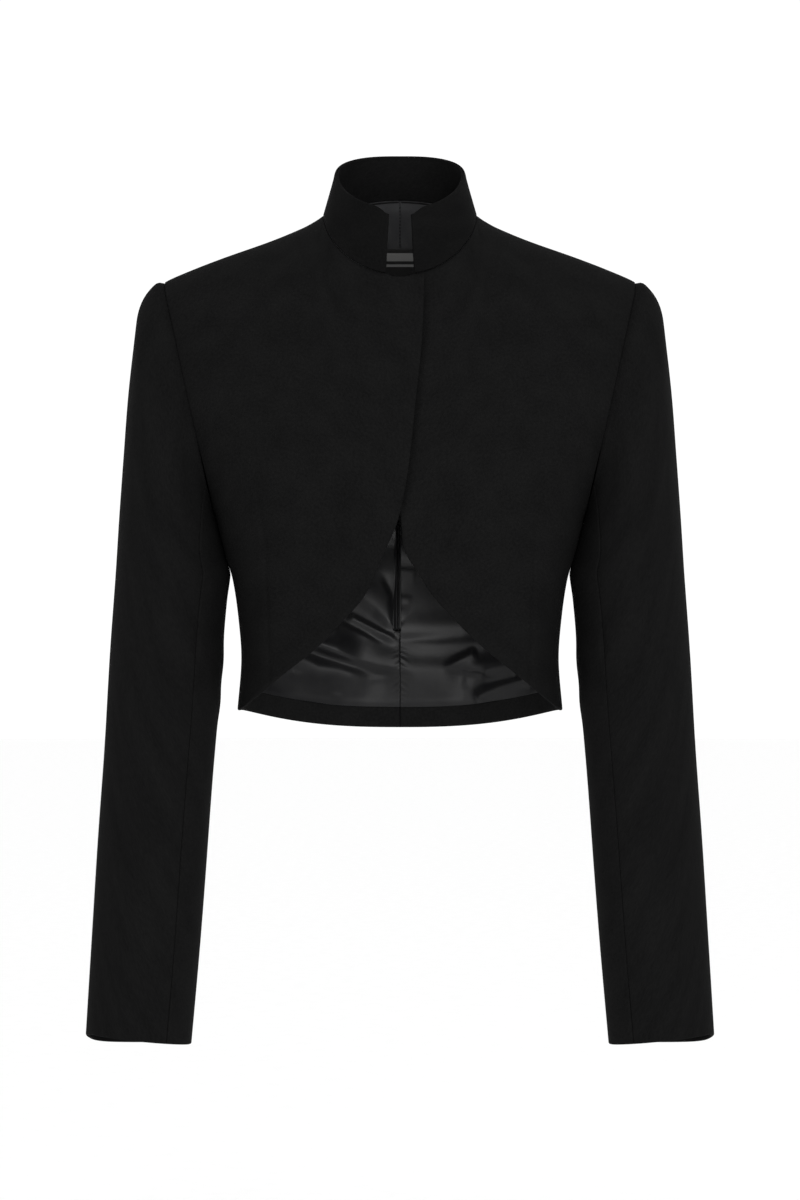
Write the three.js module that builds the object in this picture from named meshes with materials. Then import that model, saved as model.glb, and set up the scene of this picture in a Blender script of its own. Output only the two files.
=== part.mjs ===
// A cropped, long-sleeved jacket of black wool with a stand collar and padded shoulders, in its worn form.
// The fronts lap at the breast, then sweep away to the side seams and show the satin lining of the back.
// Millimetres. X runs to the wearer's left, Y to the back and Z up. The origin is the middle of the neck,
// at the height of the shoulder line, where the wearer's shoulders carry the jacket.
import * as THREE from "three";

// Cloth thicknesses and the gap that parts two pieces at a seam.
const CLOTH_WALL = 2.2;
const HEM_WALL = 3.5;
const COLLAR_FACE_WALL = 1.7;
const COLLAR_BACKING_WALL = 1.3;
const LINING_WALL = 1.0;
const LABEL_WALL = 0.9;
const SEAM_GAP = 0.4;
const HALF_GAP = SEAM_GAP / 2;

// Lengths along the jacket.
const HEM_HEIGHT = -415;
const HEM_DIP = 17;
const HEM_TURN_UP = 20;
const UNDERARM_HEIGHT = -245;
const NECK_HALF_WIDTH = 65.5;
const SIDE_NECK_HEIGHT = 6.8;
const FRONT_NECK_HEIGHT = -51;
const BACK_NECK_HEIGHT = 24.5;
const SHOULDER_TIP = 200;

// How square the trunk's front and back are, and how far below the shoulder line they turn over.
// SLOPE is the shoulder line without its rise to the neck, as the cloth feels it from a depth on.
const FRONT_SQUARENESS = 2.4;
const BACK_SQUARENESS = 2.9;
const FRONT_TURN = 110;
const BACK_TURN = 70;
const RIDGE_SOFTNESS = 22;
const SLOPE = { top: 28, fall: 0.385, round: 45, deep: 70 };
const BUST = { x: 88, z: -208, wide: 50, tall: 60, proud: 7 };

// Trunk sections: height, half width at the side, and depth of the front and the back from the side seam.
const TRUNK = [
  { z: -445, side: 140, front: 102, back: 82 },
  { z: -415, side: 138, front: 102, back: 80 },
  { z: -372, side: 134.7, front: 103, back: 76 },
  { z: -338, side: 137, front: 105, back: 77 },
  { z: -304, side: 142, front: 109, back: 81 },
  { z: -284, side: 148, front: 112, back: 84 },
  { z: -262, side: 153.6, front: 114, back: 88 },
  { z: -245, side: 158, front: 115, back: 90 },
  { z: -211, side: 173, front: 116, back: 94 },
  { z: -177, side: 188, front: 114, back: 96 },
  { z: -148, side: 199, front: 109, back: 96 },
  { z: -109, side: 211, front: 98, back: 93 },
  { z: -78, side: 223, front: 90, back: 88 },
  { z: -50, side: 235, front: 86, back: 83 },
  { z: -5, side: 245, front: 80, back: 78 },
  { z: 40, side: 250, front: 76, back: 76 },
];

// The shoulder line: distance from the middle, height, and how far back the line runs.
const SHOULDER = [
  { x: 0, z: 37, back: 36 },
  { x: 34, z: 33, back: 30 },
  { x: 52, z: 25, back: 23.5 },
  { x: 59, z: 16, back: 19.5 },
  { x: 65.5, z: 6.8, back: 16.5 },
  { x: 74, z: 0.4, back: 12.5 },
  { x: 84, z: -5.2, back: 9 },
  { x: 110, z: -16.5, back: 3 },
  { x: 150, z: -31, back: 0 },
  { x: 176, z: -41, back: 0 },
  { x: 200, z: -51.5, back: 0 },
  { x: 240, z: -74, back: 0 },
];

// The armhole seam: height and distance from the middle.
const ARMHOLE = [
  { z: -245, x: 158 },
  { z: -233, x: 160 },
  { z: -214, x: 163.8 },
  { z: -192, x: 168.8 },
  { z: -170, x: 173.6 },
  { z: -148, x: 178.5 },
  { z: -118, x: 185.3 },
  { z: -84, x: 193.2 },
  { z: -64, x: 198 },
  { z: -51.5, x: 200 },
];

// The front edge, from its tip at the side seam, round the cutaway and up to the neck.
// out is the distance from the middle, and is negative where the edge laps past the middle.
const FRONT_EDGE = [
  { out: 132, z: -411 },
  { out: 121.9, z: -403 },
  { out: 99.7, z: -385 },
  { out: 65.7, z: -358 },
  { out: 45.8, z: -337 },
  { out: 29.2, z: -318 },
  { out: 12.7, z: -282 },
  { out: 2.3, z: -258 },
  { out: -5.9, z: -220 },
  { out: -12.7, z: -160 },
  { out: -18.3, z: -104 },
  { out: -20.3, z: -53 },
];
const LAP_LIFT = 3.6;
const LAP_FULL = 24;
const LAP_END = 62;
const FREE_EDGE = { drop: 1.7, from: 11, full: 6 };

// Sleeve sections: height, outer and inner side, half depth, and how far forward the middle lies.
const SLEEVE = [
  { z: -700, outer: 264.2, inner: 175.6, depth: 48, forward: 43 },
  { z: -610, outer: 259.6, inner: 168.1, depth: 50, forward: 31 },
  { z: -508, outer: 254, inner: 161, depth: 54, forward: 18 },
  { z: -406, outer: 248, inner: 153, depth: 58, forward: 8 },
  { z: -355, outer: 244.9, inner: 149.9, depth: 61, forward: 5 },
  { z: -321, outer: 242.7, inner: 146.8, depth: 63, forward: 3 },
  { z: -304, outer: 241.6, inner: 144.4, depth: 64, forward: 2 },
  { z: -298, outer: 241.2, inner: 144.1, depth: 64, forward: 2 },
  { z: -284, outer: 240.3, inner: 148.1, depth: 65, forward: 2 },
  { z: -262, outer: 239, inner: 153.8, depth: 65, forward: 1 },
  { z: -245, outer: 237.9, inner: 158.2, depth: 65, forward: 0 },
  { z: -200, outer: 234.6, inner: 164, depth: 64, forward: 0 },
  { z: -148, outer: 230.5, inner: 166, depth: 61, forward: 2 },
  { z: -100, outer: 225.2, inner: 168, depth: 57, forward: 2 },
  { z: -51, outer: 219.5, inner: 170, depth: 52, forward: 1 },
];
const SLEEVE_SQUARENESS = 2.15;
const SLEEVE_HEM = { height: -690.5, outerUp: 3.4, frontUp: 6.5 };
const SLEEVE_HEAD = 32;
const UNDERARM_EASE = 90;
const SEAM_TURN = { share: 0.155, done: 0.14 };

// The collar's top edge, and where its ends stand on each side of the middle.
const COLLAR_TOP = { halfWidth: 55, side: 4, front: -70, back: 46 };
const COLLAR_TOP_HEIGHT = { side: 42.5, front: 4, back: 61.5 };
const COLLAR_CORNER_DROP = 5;
const COLLAR_END_BASE = 12;
const COLLAR_END_TOP = 9.5;

// The back lining: the loose pleat at its middle, and its deepest folds as soft ridges between two points.
const LINING_CLEARANCE = 0.7;
const PLEAT = { top: -150, full: -250, bottom: -349, wide: 5.5, deep: 1.9, reach: 9, fade: 22 };
const LINING_FOLDS = [
  { x1: -4, z1: -352, x2: -52, z2: -330, wide: 4.5, proud: 3.0 },
  { x1: -6, z1: -364, x2: -70, z2: -342, wide: 4.5, proud: 2.6 },
  { x1: -8, z1: -378, x2: -86, z2: -360, wide: 5.5, proud: 3.0 },
  { x1: -34, z1: -398, x2: -104, z2: -388, wide: 6, proud: 2.2 },
  { x1: 4, z1: -350, x2: 66, z2: -351, wide: 4.5, proud: 2.8 },
  { x1: 6, z1: -366, x2: 74, z2: -360, wide: 4.5, proud: 2.8 },
  { x1: 30, z1: -386, x2: 82, z2: -366, wide: 5.5, proud: 3.0 },
  { x1: 62, z1: -404, x2: 108, z2: -388, wide: 5.5, proud: 2.6 },
];
const LABEL = { halfWidth: 29, top: -15, bottom: -43, clearance: 0.9 };

// How finely each kind of panel is divided. neck and side count the steps before the edge's corner.
const ARMHOLE_STEPS = 14;
const FRONT_GRID = { across: 15, up: 8 + ARMHOLE_STEPS, neck: 6, side: 8 };
const BACK_GRID = { across: 15, up: 8 + ARMHOLE_STEPS, neck: 5, side: 8 };
const LINING_FINE = { top: -325, step: 5.8 };
const SLEEVE_GRID = { frontSteps: 11, backSteps: 9, along: 20 };
const COLLAR_GRID = { round: 36, up: 4 };

const WOOL_COLOUR = 0x0b0b0c;
const SATIN_COLOUR = 0x1d1e21;
const LABEL_COLOUR = 0x08080a;

// A smooth curve through the rows of a table: the value of one column at a value of another.
function track(table, from, to) {
  const rows = [...table].sort((p, q) => p[from] - q[from]);
  const slopes = rows.map((row, i) => {
    const before = rows[Math.max(i - 1, 0)];
    const after = rows[Math.min(i + 1, rows.length - 1)];
    return (after[to] - before[to]) / (after[from] - before[from]);
  });
  return (value) => {
    let i = rows.findIndex((row) => row[from] > value) - 1;
    if (i === -2) i = rows.length - 2;
    i = Math.max(i, 0);
    const span = rows[i + 1][from] - rows[i][from];
    const t = THREE.MathUtils.clamp((value - rows[i][from]) / span, 0, 1);
    const rise = rows[i + 1][to] - rows[i][to];
    const a = slopes[i] * span - rise;
    const b = rise - slopes[i + 1] * span;
    return rows[i][to] + t * rise + t * (1 - t) * (a * (1 - t) + b * t);
  };
}

// The point at share t of the length of a smooth curve through a table's rows, as [first, second] column.
function traced(table, first, second) {
  const points = table.map((row) => new THREE.Vector3(row[first], row[second], 0));
  const curve = new THREE.CatmullRomCurve3(points, false, "centripetal");
  return (t) => {
    const p = curve.getPointAt(THREE.MathUtils.clamp(t, 0, 1));
    return [p.x, p.y];
  };
}

const power = (value, exponent) => Math.sign(value) * Math.abs(value) ** exponent;
const mix = THREE.MathUtils.lerp;
const ease = THREE.MathUtils.smoothstep;

const sideAt = track(TRUNK, "z", "side");
const frontDepthAt = track(TRUNK, "z", "front");
const backDepthAt = track(TRUNK, "z", "back");
const ridgeHeightAt = track(SHOULDER, "x", "z");
const ridgeBackAt = track(SHOULDER, "x", "back");
const armholeAt = track(ARMHOLE, "z", "x");
const sleeveOuterAt = track(SLEEVE, "z", "outer");
const sleeveInnerAt = track(SLEEVE, "z", "inner");
const sleeveDepthAt = track(SLEEVE, "z", "depth");
const sleeveForwardAt = track(SLEEVE, "z", "forward");

// The trunk is drawn on an angle round it, from the middle to the side seam, and a drop from the
// shoulder line. The drop is soft at the line, so that even steps of it go evenly over the shoulder.
const heightBelowRidge = (drop) => Math.hypot(drop, RIDGE_SOFTNESS) - RIDGE_SOFTNESS;
const dropFor = (below) => Math.sqrt(Math.max((below + RIDGE_SOFTNESS) ** 2 - RIDGE_SOFTNESS ** 2, 0));
const squarenessOf = (face) => (face === "front" ? FRONT_SQUARENESS : BACK_SQUARENESS);

// The shoulder line as it is felt at a height below it: further down, its rise to the neck is lost.
function feltRidge(x, below) {
  const slope = SLOPE.top - SLOPE.fall * Math.hypot(x, SLOPE.round);
  return mix(ridgeHeightAt(Math.abs(x)), slope, ease(below, 0, SLOPE.deep));
}

// The [angle, drop] of the point that lies at a distance from the middle and a height.
function placeOf(face, x, z) {
  const share = THREE.MathUtils.clamp(x / sideAt(z), -1, 1);
  const angle = Math.asin(power(share, squarenessOf(face) / 2));
  let below = Math.max(ridgeHeightAt(Math.abs(x)) - z, 0);
  for (let i = 0; i < 24; i++) below = mix(below, Math.max(feltRidge(x, below) - z, 0), 0.65);
  return [angle, dropFor(below)];
}

// The point of the trunk's outer surface on the wearer's left half at an angle and a drop.
function trunkPoint(face, angle, drop, lift = 0) {
  const squareness = squarenessOf(face);
  const below = heightBelowRidge(drop);
  const across = power(Math.sin(angle), 2 / squareness);
  const forth = power(Math.cos(angle), 2 / squareness);
  let z = feltRidge(0, below) - below;
  let x = 0;
  for (let i = 0; i < 12; i++) {
    x = sideAt(z) * across;
    z = feltRidge(x, below) - below;
  }
  const turn = face === "front" ? FRONT_TURN : BACK_TURN;
  const over = Math.sign(drop) * Math.sqrt(1 - (1 - Math.min(below / turn, 1)) ** 2);
  const ridge = ridgeBackAt(Math.abs(x));
  if (face === "back") {
    return new THREE.Vector3(x, ridge + (backDepthAt(z) * forth - ridge) * over + HALF_GAP, z);
  }
  const fromBust = Math.hypot((Math.abs(x) - BUST.x) / BUST.wide, (z - BUST.z) / BUST.tall);
  const depth = frontDepthAt(z) + BUST.proud * Math.exp(-(fromBust ** 2));
  const lap = lift * (1 - ease(x, LAP_FULL, LAP_END));
  return new THREE.Vector3(x, ridge - (depth * forth + ridge) * over - HALF_GAP - lap, z);
}

// The outward unit normal of a surface drawn on two numbers.
function normalOf(surface, p, q, stepP, stepQ, outward) {
  const along = surface(p + stepP, q).sub(surface(p - stepP, q));
  const up = surface(p, q + stepQ).sub(surface(p, q - stepQ));
  const normal = along.cross(up).normalize();
  return normal.dot(outward) < 0 ? normal.negate() : normal;
}

function trunkNormal(face, angle, drop, lift = 0) {
  const point = trunkPoint(face, angle, drop, lift);
  const outward = new THREE.Vector3(point.x, point.y, 0).normalize().add(new THREE.Vector3(0, 0, 0.3));
  return normalOf((a, d) => trunkPoint(face, a, d, lift), angle, drop, 0.004, 0.6, outward);
}

// The neckline: how far out and how high it is at an angle from the middle of the front or back.
// Past the collar's end the front's edge is free, and lies a little lower.
function necklineXZ(face, angle) {
  const towardsMiddle = Math.max(Math.cos(angle), 0);
  const x = NECK_HALF_WIDTH * Math.sin(angle);
  if (face === "back") return [x, mix(SIDE_NECK_HEIGHT, BACK_NECK_HEIGHT, towardsMiddle ** 1.5)];
  const free = FREE_EDGE.drop * (1 - ease(x, FREE_EDGE.full, FREE_EDGE.from));
  return [x, mix(SIDE_NECK_HEIGHT, FRONT_NECK_HEIGHT, towardsMiddle ** 1.1) - free];
}

// The neck edge of a panel as it is divided, so that the collar stands on it all the way round.
function neckEdge(face, angle, lift) {
  const start = face === "front" ? frontNeckAngle : 0;
  const count = face === "front" ? FRONT_GRID.neck : BACK_GRID.neck;
  const steps = ((angle - start) / (Math.PI / 2 - start)) * count;
  const whole = Math.min(Math.floor(steps), count - 1);
  const [before, after] = [whole, whole + 1].map((step) => {
    const at = mix(start, Math.PI / 2, step / count);
    return trunkPoint(face, ...placeOf(face, ...necklineXZ(face, at)), lift);
  });
  return before.lerp(after, steps - whole);
}

// A patch between four edges, each of which gives a place at a share of its length.
// The patch gives the place at a share across, from inner to outer, and a share up, from bottom to top.
function patch(inner, outer, bottom, top) {
  return (a, b) =>
    [0, 1].map((k) => {
      const sides = mix(inner(b)[k], outer(b)[k], a);
      const ends = mix(bottom(a)[k], top(a)[k], b);
      const corners = mix(mix(bottom(0)[k], bottom(1)[k], a), mix(top(0)[k], top(1)[k], a), b);
      return sides + ends - corners;
    });
}

// An edge made of two stretches that meet at a share of the way.
const joined = (first, second, share) => (t) =>
  t <= share ? first(t / share) : second((t - share) / (1 - share));

// The side seam and armhole of a panel as one edge, and its neckline and shoulder as another.
function panelEdges(face, grid) {
  const seam = (t) => {
    const z = mix(HEM_HEIGHT, UNDERARM_HEIGHT, t);
    return placeOf(face, sideAt(z), z);
  };
  const armhole = (t) => {
    const z = armholeHeight(Math.PI * (1 - t));
    return placeOf(face, armholeAt(z), z);
  };
  const neckStart = face === "front" ? frontNeckAngle : 0;
  const neckline = (t) => placeOf(face, ...necklineXZ(face, mix(neckStart, Math.PI / 2, t)));
  const shoulder = (t) => {
    const x = mix(NECK_HALF_WIDTH, SHOULDER_TIP, t);
    return placeOf(face, x, ridgeHeightAt(x));
  };
  return {
    outer: joined(seam, armhole, grid.side / grid.up),
    top: joined(neckline, shoulder, grid.neck / grid.across),
  };
}

// The height of the armhole seam at an angle round it, from the shoulder tip down to the underarm.
function armholeHeight(angle) {
  const half = (ridgeHeightAt(SHOULDER_TIP) - UNDERARM_HEIGHT) / 2;
  return UNDERARM_HEIGHT + half + half * Math.cos(angle);
}

const frontNeckAngle = Math.asin(FRONT_EDGE.at(-1).out / NECK_HALF_WIDTH);
const frontEdgeAt = traced(FRONT_EDGE, "out", "z");

// A front runs from its swept edge to the side seam, and its foot is the short hem at the side.
function frontPatch() {
  const { outer, top } = panelEdges("front", FRONT_GRID);
  const inner = (t) => (t >= 1 ? top(0) : placeOf("front", ...frontEdgeAt(t)));
  const bottom = (a) => [mix(inner(0)[0], outer(0)[0], a), mix(inner(0)[1], outer(0)[1], a)];
  return patch(inner, outer, bottom, top);
}

const hemHeightAt = (x) => HEM_HEIGHT - HEM_DIP * (1 - Math.min(Math.abs(x) / sideAt(HEM_HEIGHT), 1) ** 2.6);

// A back runs from its middle seam to the side seam, above a hem that dips towards the middle.
function backPatch() {
  const { outer, top } = panelEdges("back", BACK_GRID);
  const inner = (t) => (t >= 1 ? top(0) : placeOf("back", 0, mix(hemHeightAt(0), BACK_NECK_HEIGHT, t)));
  const bottom = (a) => {
    const reach = sideAt(HEM_HEIGHT) * Math.sin(mix(0, outer(0)[0], a)) ** (2 / BACK_SQUARENESS);
    return placeOf("back", reach, hemHeightAt(reach));
  };
  return patch(inner, outer, bottom, top);
}

// A closed wall between two sheets of points, each a list of rows.
function wallBetween(outside, inside) {
  const rows = outside.length;
  const columns = outside[0].length;
  const positions = [...outside.flat(), ...inside.flat()].flatMap((p) => [p.x, p.y, p.z]);
  const at = (sheet, i, j) => sheet * rows * columns + i * columns + j;
  const corner = (i) => new THREE.Vector3().fromArray(positions, 3 * i);
  const faces = [];
  const quad = (a, b, c, d) => {
    const straight = corner(a).distanceTo(corner(c)) <= corner(b).distanceTo(corner(d));
    faces.push(...(straight ? [a, b, c, a, c, d] : [b, c, d, b, d, a]));
  };
  for (let i = 0; i < rows - 1; i++) {
    for (let j = 0; j < columns - 1; j++) {
      quad(at(0, i, j), at(0, i, j + 1), at(0, i + 1, j + 1), at(0, i + 1, j));
      quad(at(1, i, j), at(1, i + 1, j), at(1, i + 1, j + 1), at(1, i, j + 1));
    }
  }
  for (let j = 0; j < columns - 1; j++) {
    quad(at(0, 0, j), at(1, 0, j), at(1, 0, j + 1), at(0, 0, j + 1));
    quad(at(0, rows - 1, j), at(0, rows - 1, j + 1), at(1, rows - 1, j + 1), at(1, rows - 1, j));
  }
  for (let i = 0; i < rows - 1; i++) {
    quad(at(0, i, 0), at(0, i + 1, 0), at(1, i + 1, 0), at(1, i, 0));
    quad(at(0, i, columns - 1), at(1, i, columns - 1), at(1, i + 1, columns - 1), at(0, i + 1, columns - 1));
  }
  return facingOut(positions, faces);
}

// The geometry of a closed surface, with its faces turned round if they point inwards.
function facingOut(positions, faces) {
  const corner = (i) => new THREE.Vector3().fromArray(positions, 3 * i);
  let volume = 0;
  for (let i = 0; i < faces.length; i += 3) {
    volume += corner(faces[i]).dot(corner(faces[i + 1]).cross(corner(faces[i + 2])));
  }
  const index = volume < 0 ? [...faces].reverse() : faces;
  const geometry = new THREE.BufferGeometry();
  geometry.setAttribute("position", new THREE.Float32BufferAttribute(positions, 3));
  geometry.setIndex(index);
  geometry.computeVertexNormals();
  return geometry;
}

const evenShares = (count) => Array.from({ length: count + 1 }, (_, i) => i / count);

// The outer and inner sheet of a trunk panel, with a row of points at each share of the way up.
// place gives the angle and drop, and the two depths say how far under the trunk's surface each sheet lies.
function panelSheets(face, place, across, shares, { lift = 0, outerDepth = () => 0, innerDepth }) {
  const outside = [];
  const inside = [];
  for (const b of shares) {
    const points = evenShares(across).map((a) => {
      const [angle, drop] = place(a, b);
      const point = trunkPoint(face, angle, drop, lift);
      return { point, inward: trunkNormal(face, angle, drop, lift).negate() };
    });
    const sunk = (depth) =>
      points.map(({ point, inward }) => point.clone().addScaledVector(inward, depth(point, b)));
    outside.push(sunk(outerDepth));
    inside.push(sunk(innerDepth));
  }
  return [outside, inside];
}

// Moves a half away from the middle seam, and mirrors it if it is the wearer's right one.
const onSide = (sheets, side, gap = 0) =>
  sheets.map((sheet) => sheet.map((row) => row.map((p) => new THREE.Vector3(side * (p.x + gap), p.y, p.z))));

function frontPanel(side) {
  const sheets = panelSheets("front", frontPatch(), FRONT_GRID.across, evenShares(FRONT_GRID.up), {
    lift: side < 0 ? LAP_LIFT : 0,
    innerDepth: () => CLOTH_WALL,
  });
  return wallBetween(...onSide(sheets, side));
}

// The back's rise at the middle, and the shares of it that its turn-up and a given height take.
const BACK_RISE = BACK_NECK_HEIGHT - hemHeightAt(0);
const TURN_UP_SHARE = HEM_TURN_UP / BACK_RISE;
const TURN_UP_STEP = 0.4 / BACK_RISE;
const backShareAt = (z) => (z - hemHeightAt(0)) / BACK_RISE;

// The back's cloth is thicker below the edge of the turn-up, where the hem is folded up inside.
function backPanel(side) {
  const above = evenShares(BACK_GRID.up).filter((b) => b > TURN_UP_SHARE + 3 * TURN_UP_STEP);
  const shares = [0, TURN_UP_SHARE / 2, TURN_UP_SHARE, TURN_UP_SHARE + TURN_UP_STEP, ...above];
  const sheets = panelSheets("back", backPatch(), BACK_GRID.across, shares, {
    innerDepth: (_, b) => (b <= TURN_UP_SHARE ? HEM_WALL : CLOTH_WALL),
  });
  return wallBetween(...onSide(sheets, side, HALF_GAP));
}

// How far the lining stands off its bed where a fold runs past, and beside the open pleat.
function liningRise(x, z) {
  let rise = pleatRise(x, z);
  for (const fold of LINING_FOLDS) {
    const run = new THREE.Vector2(fold.x2 - fold.x1, fold.z2 - fold.z1);
    const reach = new THREE.Vector2(x - fold.x1, z - fold.z1);
    const t = THREE.MathUtils.clamp(reach.dot(run) / run.lengthSq(), 0, 1);
    const away = reach.addScaledVector(run, -t).length();
    rise = Math.max(rise, fold.proud * Math.exp(-((away / fold.wide) ** 2)));
  }
  return rise;
}

const pleatOpen = (z) => ease(z, PLEAT.bottom - 8, PLEAT.bottom) * (1 - ease(z, PLEAT.full, PLEAT.top + 30));
const pleatRise = (x, z) => PLEAT.deep * pleatOpen(z) * (1 - ease(Math.abs(x), PLEAT.reach, PLEAT.fade));
const pleatWidthAt = (z) => (z < PLEAT.bottom ? 0 : PLEAT.wide * (1 - ease(z, PLEAT.full, PLEAT.top)));

// The lining hangs inside the back from its neck to the turn-up. Its rows are close where it shows,
// and the wearer's right half stands back from the middle along the open pleat.
function backLining(side) {
  const low = TURN_UP_SHARE + TURN_UP_STEP + SEAM_GAP / BACK_RISE;
  const fineTop = backShareAt(LINING_FINE.top);
  const pleatEnd = backShareAt(PLEAT.bottom);
  const fineCount = Math.round((fineTop - low) * BACK_RISE / LINING_FINE.step);
  const fine = evenShares(fineCount).map((t) => mix(low, fineTop, t));
  const coarse = evenShares(BACK_GRID.up).filter((b) => b > fineTop + 0.01);
  const aroundEnd = [pleatEnd - 0.3 / BACK_RISE, pleatEnd + 0.3 / BACK_RISE];
  const shares = [...fine, ...coarse, ...aroundEnd].sort((p, q) => p - q);
  const bed = CLOTH_WALL + LINING_CLEARANCE;
  const sheets = panelSheets("back", backPatch(), BACK_GRID.across, shares, {
    outerDepth: (p) => bed + liningRise(side * p.x, p.z),
    innerDepth: (p) => bed + LINING_WALL + liningRise(side * p.x, p.z),
  });
  if (side < 0) sheets.forEach(openAtPleat);
  return wallBetween(...onSide(sheets, side, HALF_GAP));
}

// Draws the first points of each row back from the middle, as far as the pleat stands open there.
function openAtPleat(sheet) {
  for (const row of sheet) {
    const first = row[0];
    const beyond = row[1];
    first.lerp(beyond, pleatWidthAt(first.z) / (beyond.x - first.x));
  }
}

// The strip of satin at the back of the pleat, behind the two halves of the lining.
function pleatStrip() {
  const depth = CLOTH_WALL + SEAM_GAP;
  const heights = evenShares(10).map((t) => mix(PLEAT.bottom + 1, PLEAT.full + 40, t));
  const columns = [-PLEAT.reach, 0, PLEAT.reach - 2];
  const sheetAt = (inset) => heights.map((z) => columns.map((x) => underBack(x, z, inset)));
  return wallBetween(sheetAt(depth), sheetAt(depth + LINING_WALL));
}

// The point that lies under the back's outer surface at a distance from the middle and a height.
function underBack(x, z, depth) {
  const [angle, drop] = placeOf("back", Math.abs(x), z);
  const point = trunkPoint("back", angle, drop);
  point.addScaledVector(trunkNormal("back", angle, drop), -depth);
  return new THREE.Vector3(Math.sign(x) * point.x, point.y, point.z);
}

// The label lies inside the lining at the middle of the back neck.
function neckLabel() {
  const depth = CLOTH_WALL + LINING_CLEARANCE + LINING_WALL + LABEL.clearance;
  const heights = evenShares(4).map((t) => mix(LABEL.bottom, LABEL.top, t));
  const columns = evenShares(8).map((t) => mix(-LABEL.halfWidth, LABEL.halfWidth, t));
  const sheetAt = (inset) => heights.map((z) => columns.map((x) => underBack(x, z, inset)));
  return wallBetween(sheetAt(depth), sheetAt(depth + LABEL_WALL));
}

// The place of the armhole seam on the wearer's left, at an angle round it over the front to the underarm.
function armholePlace(angle) {
  const face = Math.sin(angle) >= 0 ? "front" : "back";
  const z = armholeHeight(angle);
  return [face, ...placeOf(face, armholeAt(z), z)];
}

// A ring of the sleeve at a height. Lower down, the points turn a little to the front.
function sleeveRing(angle, z, down) {
  const turned = angle - SEAM_TURN.share * Math.PI * Math.sin(angle) * ease(down, 0, SEAM_TURN.done);
  const outer = sleeveOuterAt(z);
  const inner = sleeveInnerAt(z);
  const across = power(Math.cos(turned), 2 / SLEEVE_SQUARENESS);
  const forth = power(Math.sin(turned), 2 / SLEEVE_SQUARENESS);
  const x = (outer + inner) / 2 + ((outer - inner) / 2) * across;
  return new THREE.Vector3(x, -sleeveForwardAt(z) - sleeveDepthAt(z) * forth, z);
}

// The sleeve's outer surface: it leaves the armhole outwards, rounds the head, and falls to the hem.
// The angle is at the shoulder tip 0, at the underarm half a turn, and grows over the front.
function sleevePoint(angle, down) {
  const seam = trunkPoint(...armholePlace(angle));
  const tilt = SLEEVE_HEM.outerUp * Math.cos(angle) + SLEEVE_HEM.frontUp * Math.sin(angle);
  const hem = SLEEVE_HEM.height + tilt;
  const z = mix(seam.z, hem, down);
  const low = (1 - Math.cos(angle)) / 2;
  const head = mix(SLEEVE_HEAD, UNDERARM_EASE, low);
  const out = Math.sqrt(1 - (1 - Math.min((seam.z - z) / head, 1)) ** 2);
  const start = seam.clone().sub(sleeveRing(angle, seam.z, 0));
  const point = sleeveRing(angle, z, down).addScaledVector(start, 1 - out);
  return point.add(new THREE.Vector3(SEAM_GAP, 0, 0));
}

// At the armhole the sleeve's cloth lies edge to edge with the trunk's, so its thickness runs the same way,
// and towards the underarm it turns into the sleeve.
function sleeveInward(angle, down, point) {
  if (down === 0) {
    const intoSleeve = new THREE.Vector3(-Math.cos(angle), Math.sin(angle), 0);
    const intoTrunk = trunkNormal(...armholePlace(angle)).negate();
    return intoTrunk.lerp(intoSleeve, ease(-Math.cos(angle), 0, 0.95)).normalize();
  }
  const { z } = point;
  const middle = new THREE.Vector3((sleeveOuterAt(z) + sleeveInnerAt(z)) / 2, -sleeveForwardAt(z), z);
  const outward = point.clone().sub(middle).add(new THREE.Vector3(0, 0, 12 * (1 - ease(down, 0, 0.1))));
  return normalOf(sleevePoint, angle, Math.max(down, 0.001), 0.01, 0.0008, outward).negate();
}

// A sleeve panel spans a number of steps each way from the shoulder tip, or what is left at the underarm.
function sleevePanel(side, firstStep, lastStep) {
  const stepAngle = Math.PI / ARMHOLE_STEPS;
  const seamAngle = HALF_GAP / 50;
  const outside = [];
  const inside = [];
  for (let i = 0; i <= SLEEVE_GRID.along; i++) {
    const down = (i / SLEEVE_GRID.along) ** 2.1;
    const outerRow = [];
    const innerRow = [];
    for (let step = firstStep; step <= lastStep; step++) {
      const inset = (step === firstStep ? seamAngle : 0) - (step === lastStep ? seamAngle : 0);
      const angle = step * stepAngle + inset;
      const point = sleevePoint(angle, down);
      outerRow.push(point);
      innerRow.push(point.clone().addScaledVector(sleeveInward(angle, down, point), CLOTH_WALL));
    }
    outside.push(outerRow);
    inside.push(innerRow);
  }
  return wallBetween(...onSide([outside, inside], side));
}

// The top sleeve reaches from the seam at the back of the arm, over the shoulder tip, to the seam at its front.
const { frontSteps, backSteps } = SLEEVE_GRID;
const topSleeve = (side) => sleevePanel(side, -backSteps, frontSteps);
const underSleeve = (side) => sleevePanel(side, frontSteps, 2 * ARMHOLE_STEPS - backSteps);

// The collar's top edge at an angle from the middle of the front or back. frontShare is how near its end is.
function collarTop(face, angle, frontShare, lift) {
  const middle = Math.cos(angle);
  const x = COLLAR_TOP.halfWidth * Math.sin(angle);
  if (face === "back") {
    const z = mix(COLLAR_TOP_HEIGHT.side, COLLAR_TOP_HEIGHT.back, 1 - (1 - middle) ** 1.25);
    return new THREE.Vector3(x, mix(COLLAR_TOP.side, COLLAR_TOP.back, middle), z);
  }
  const lap = lift * (1 - ease(x, LAP_FULL, LAP_END));
  const drop = COLLAR_CORNER_DROP * ease(frontShare, 0.8, 1) ** 2;
  const z = mix(COLLAR_TOP_HEIGHT.side, COLLAR_TOP_HEIGHT.front, middle ** 1.08) - drop;
  return new THREE.Vector3(x, mix(COLLAR_TOP.side, COLLAR_TOP.front, middle) - lap, z);
}

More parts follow.
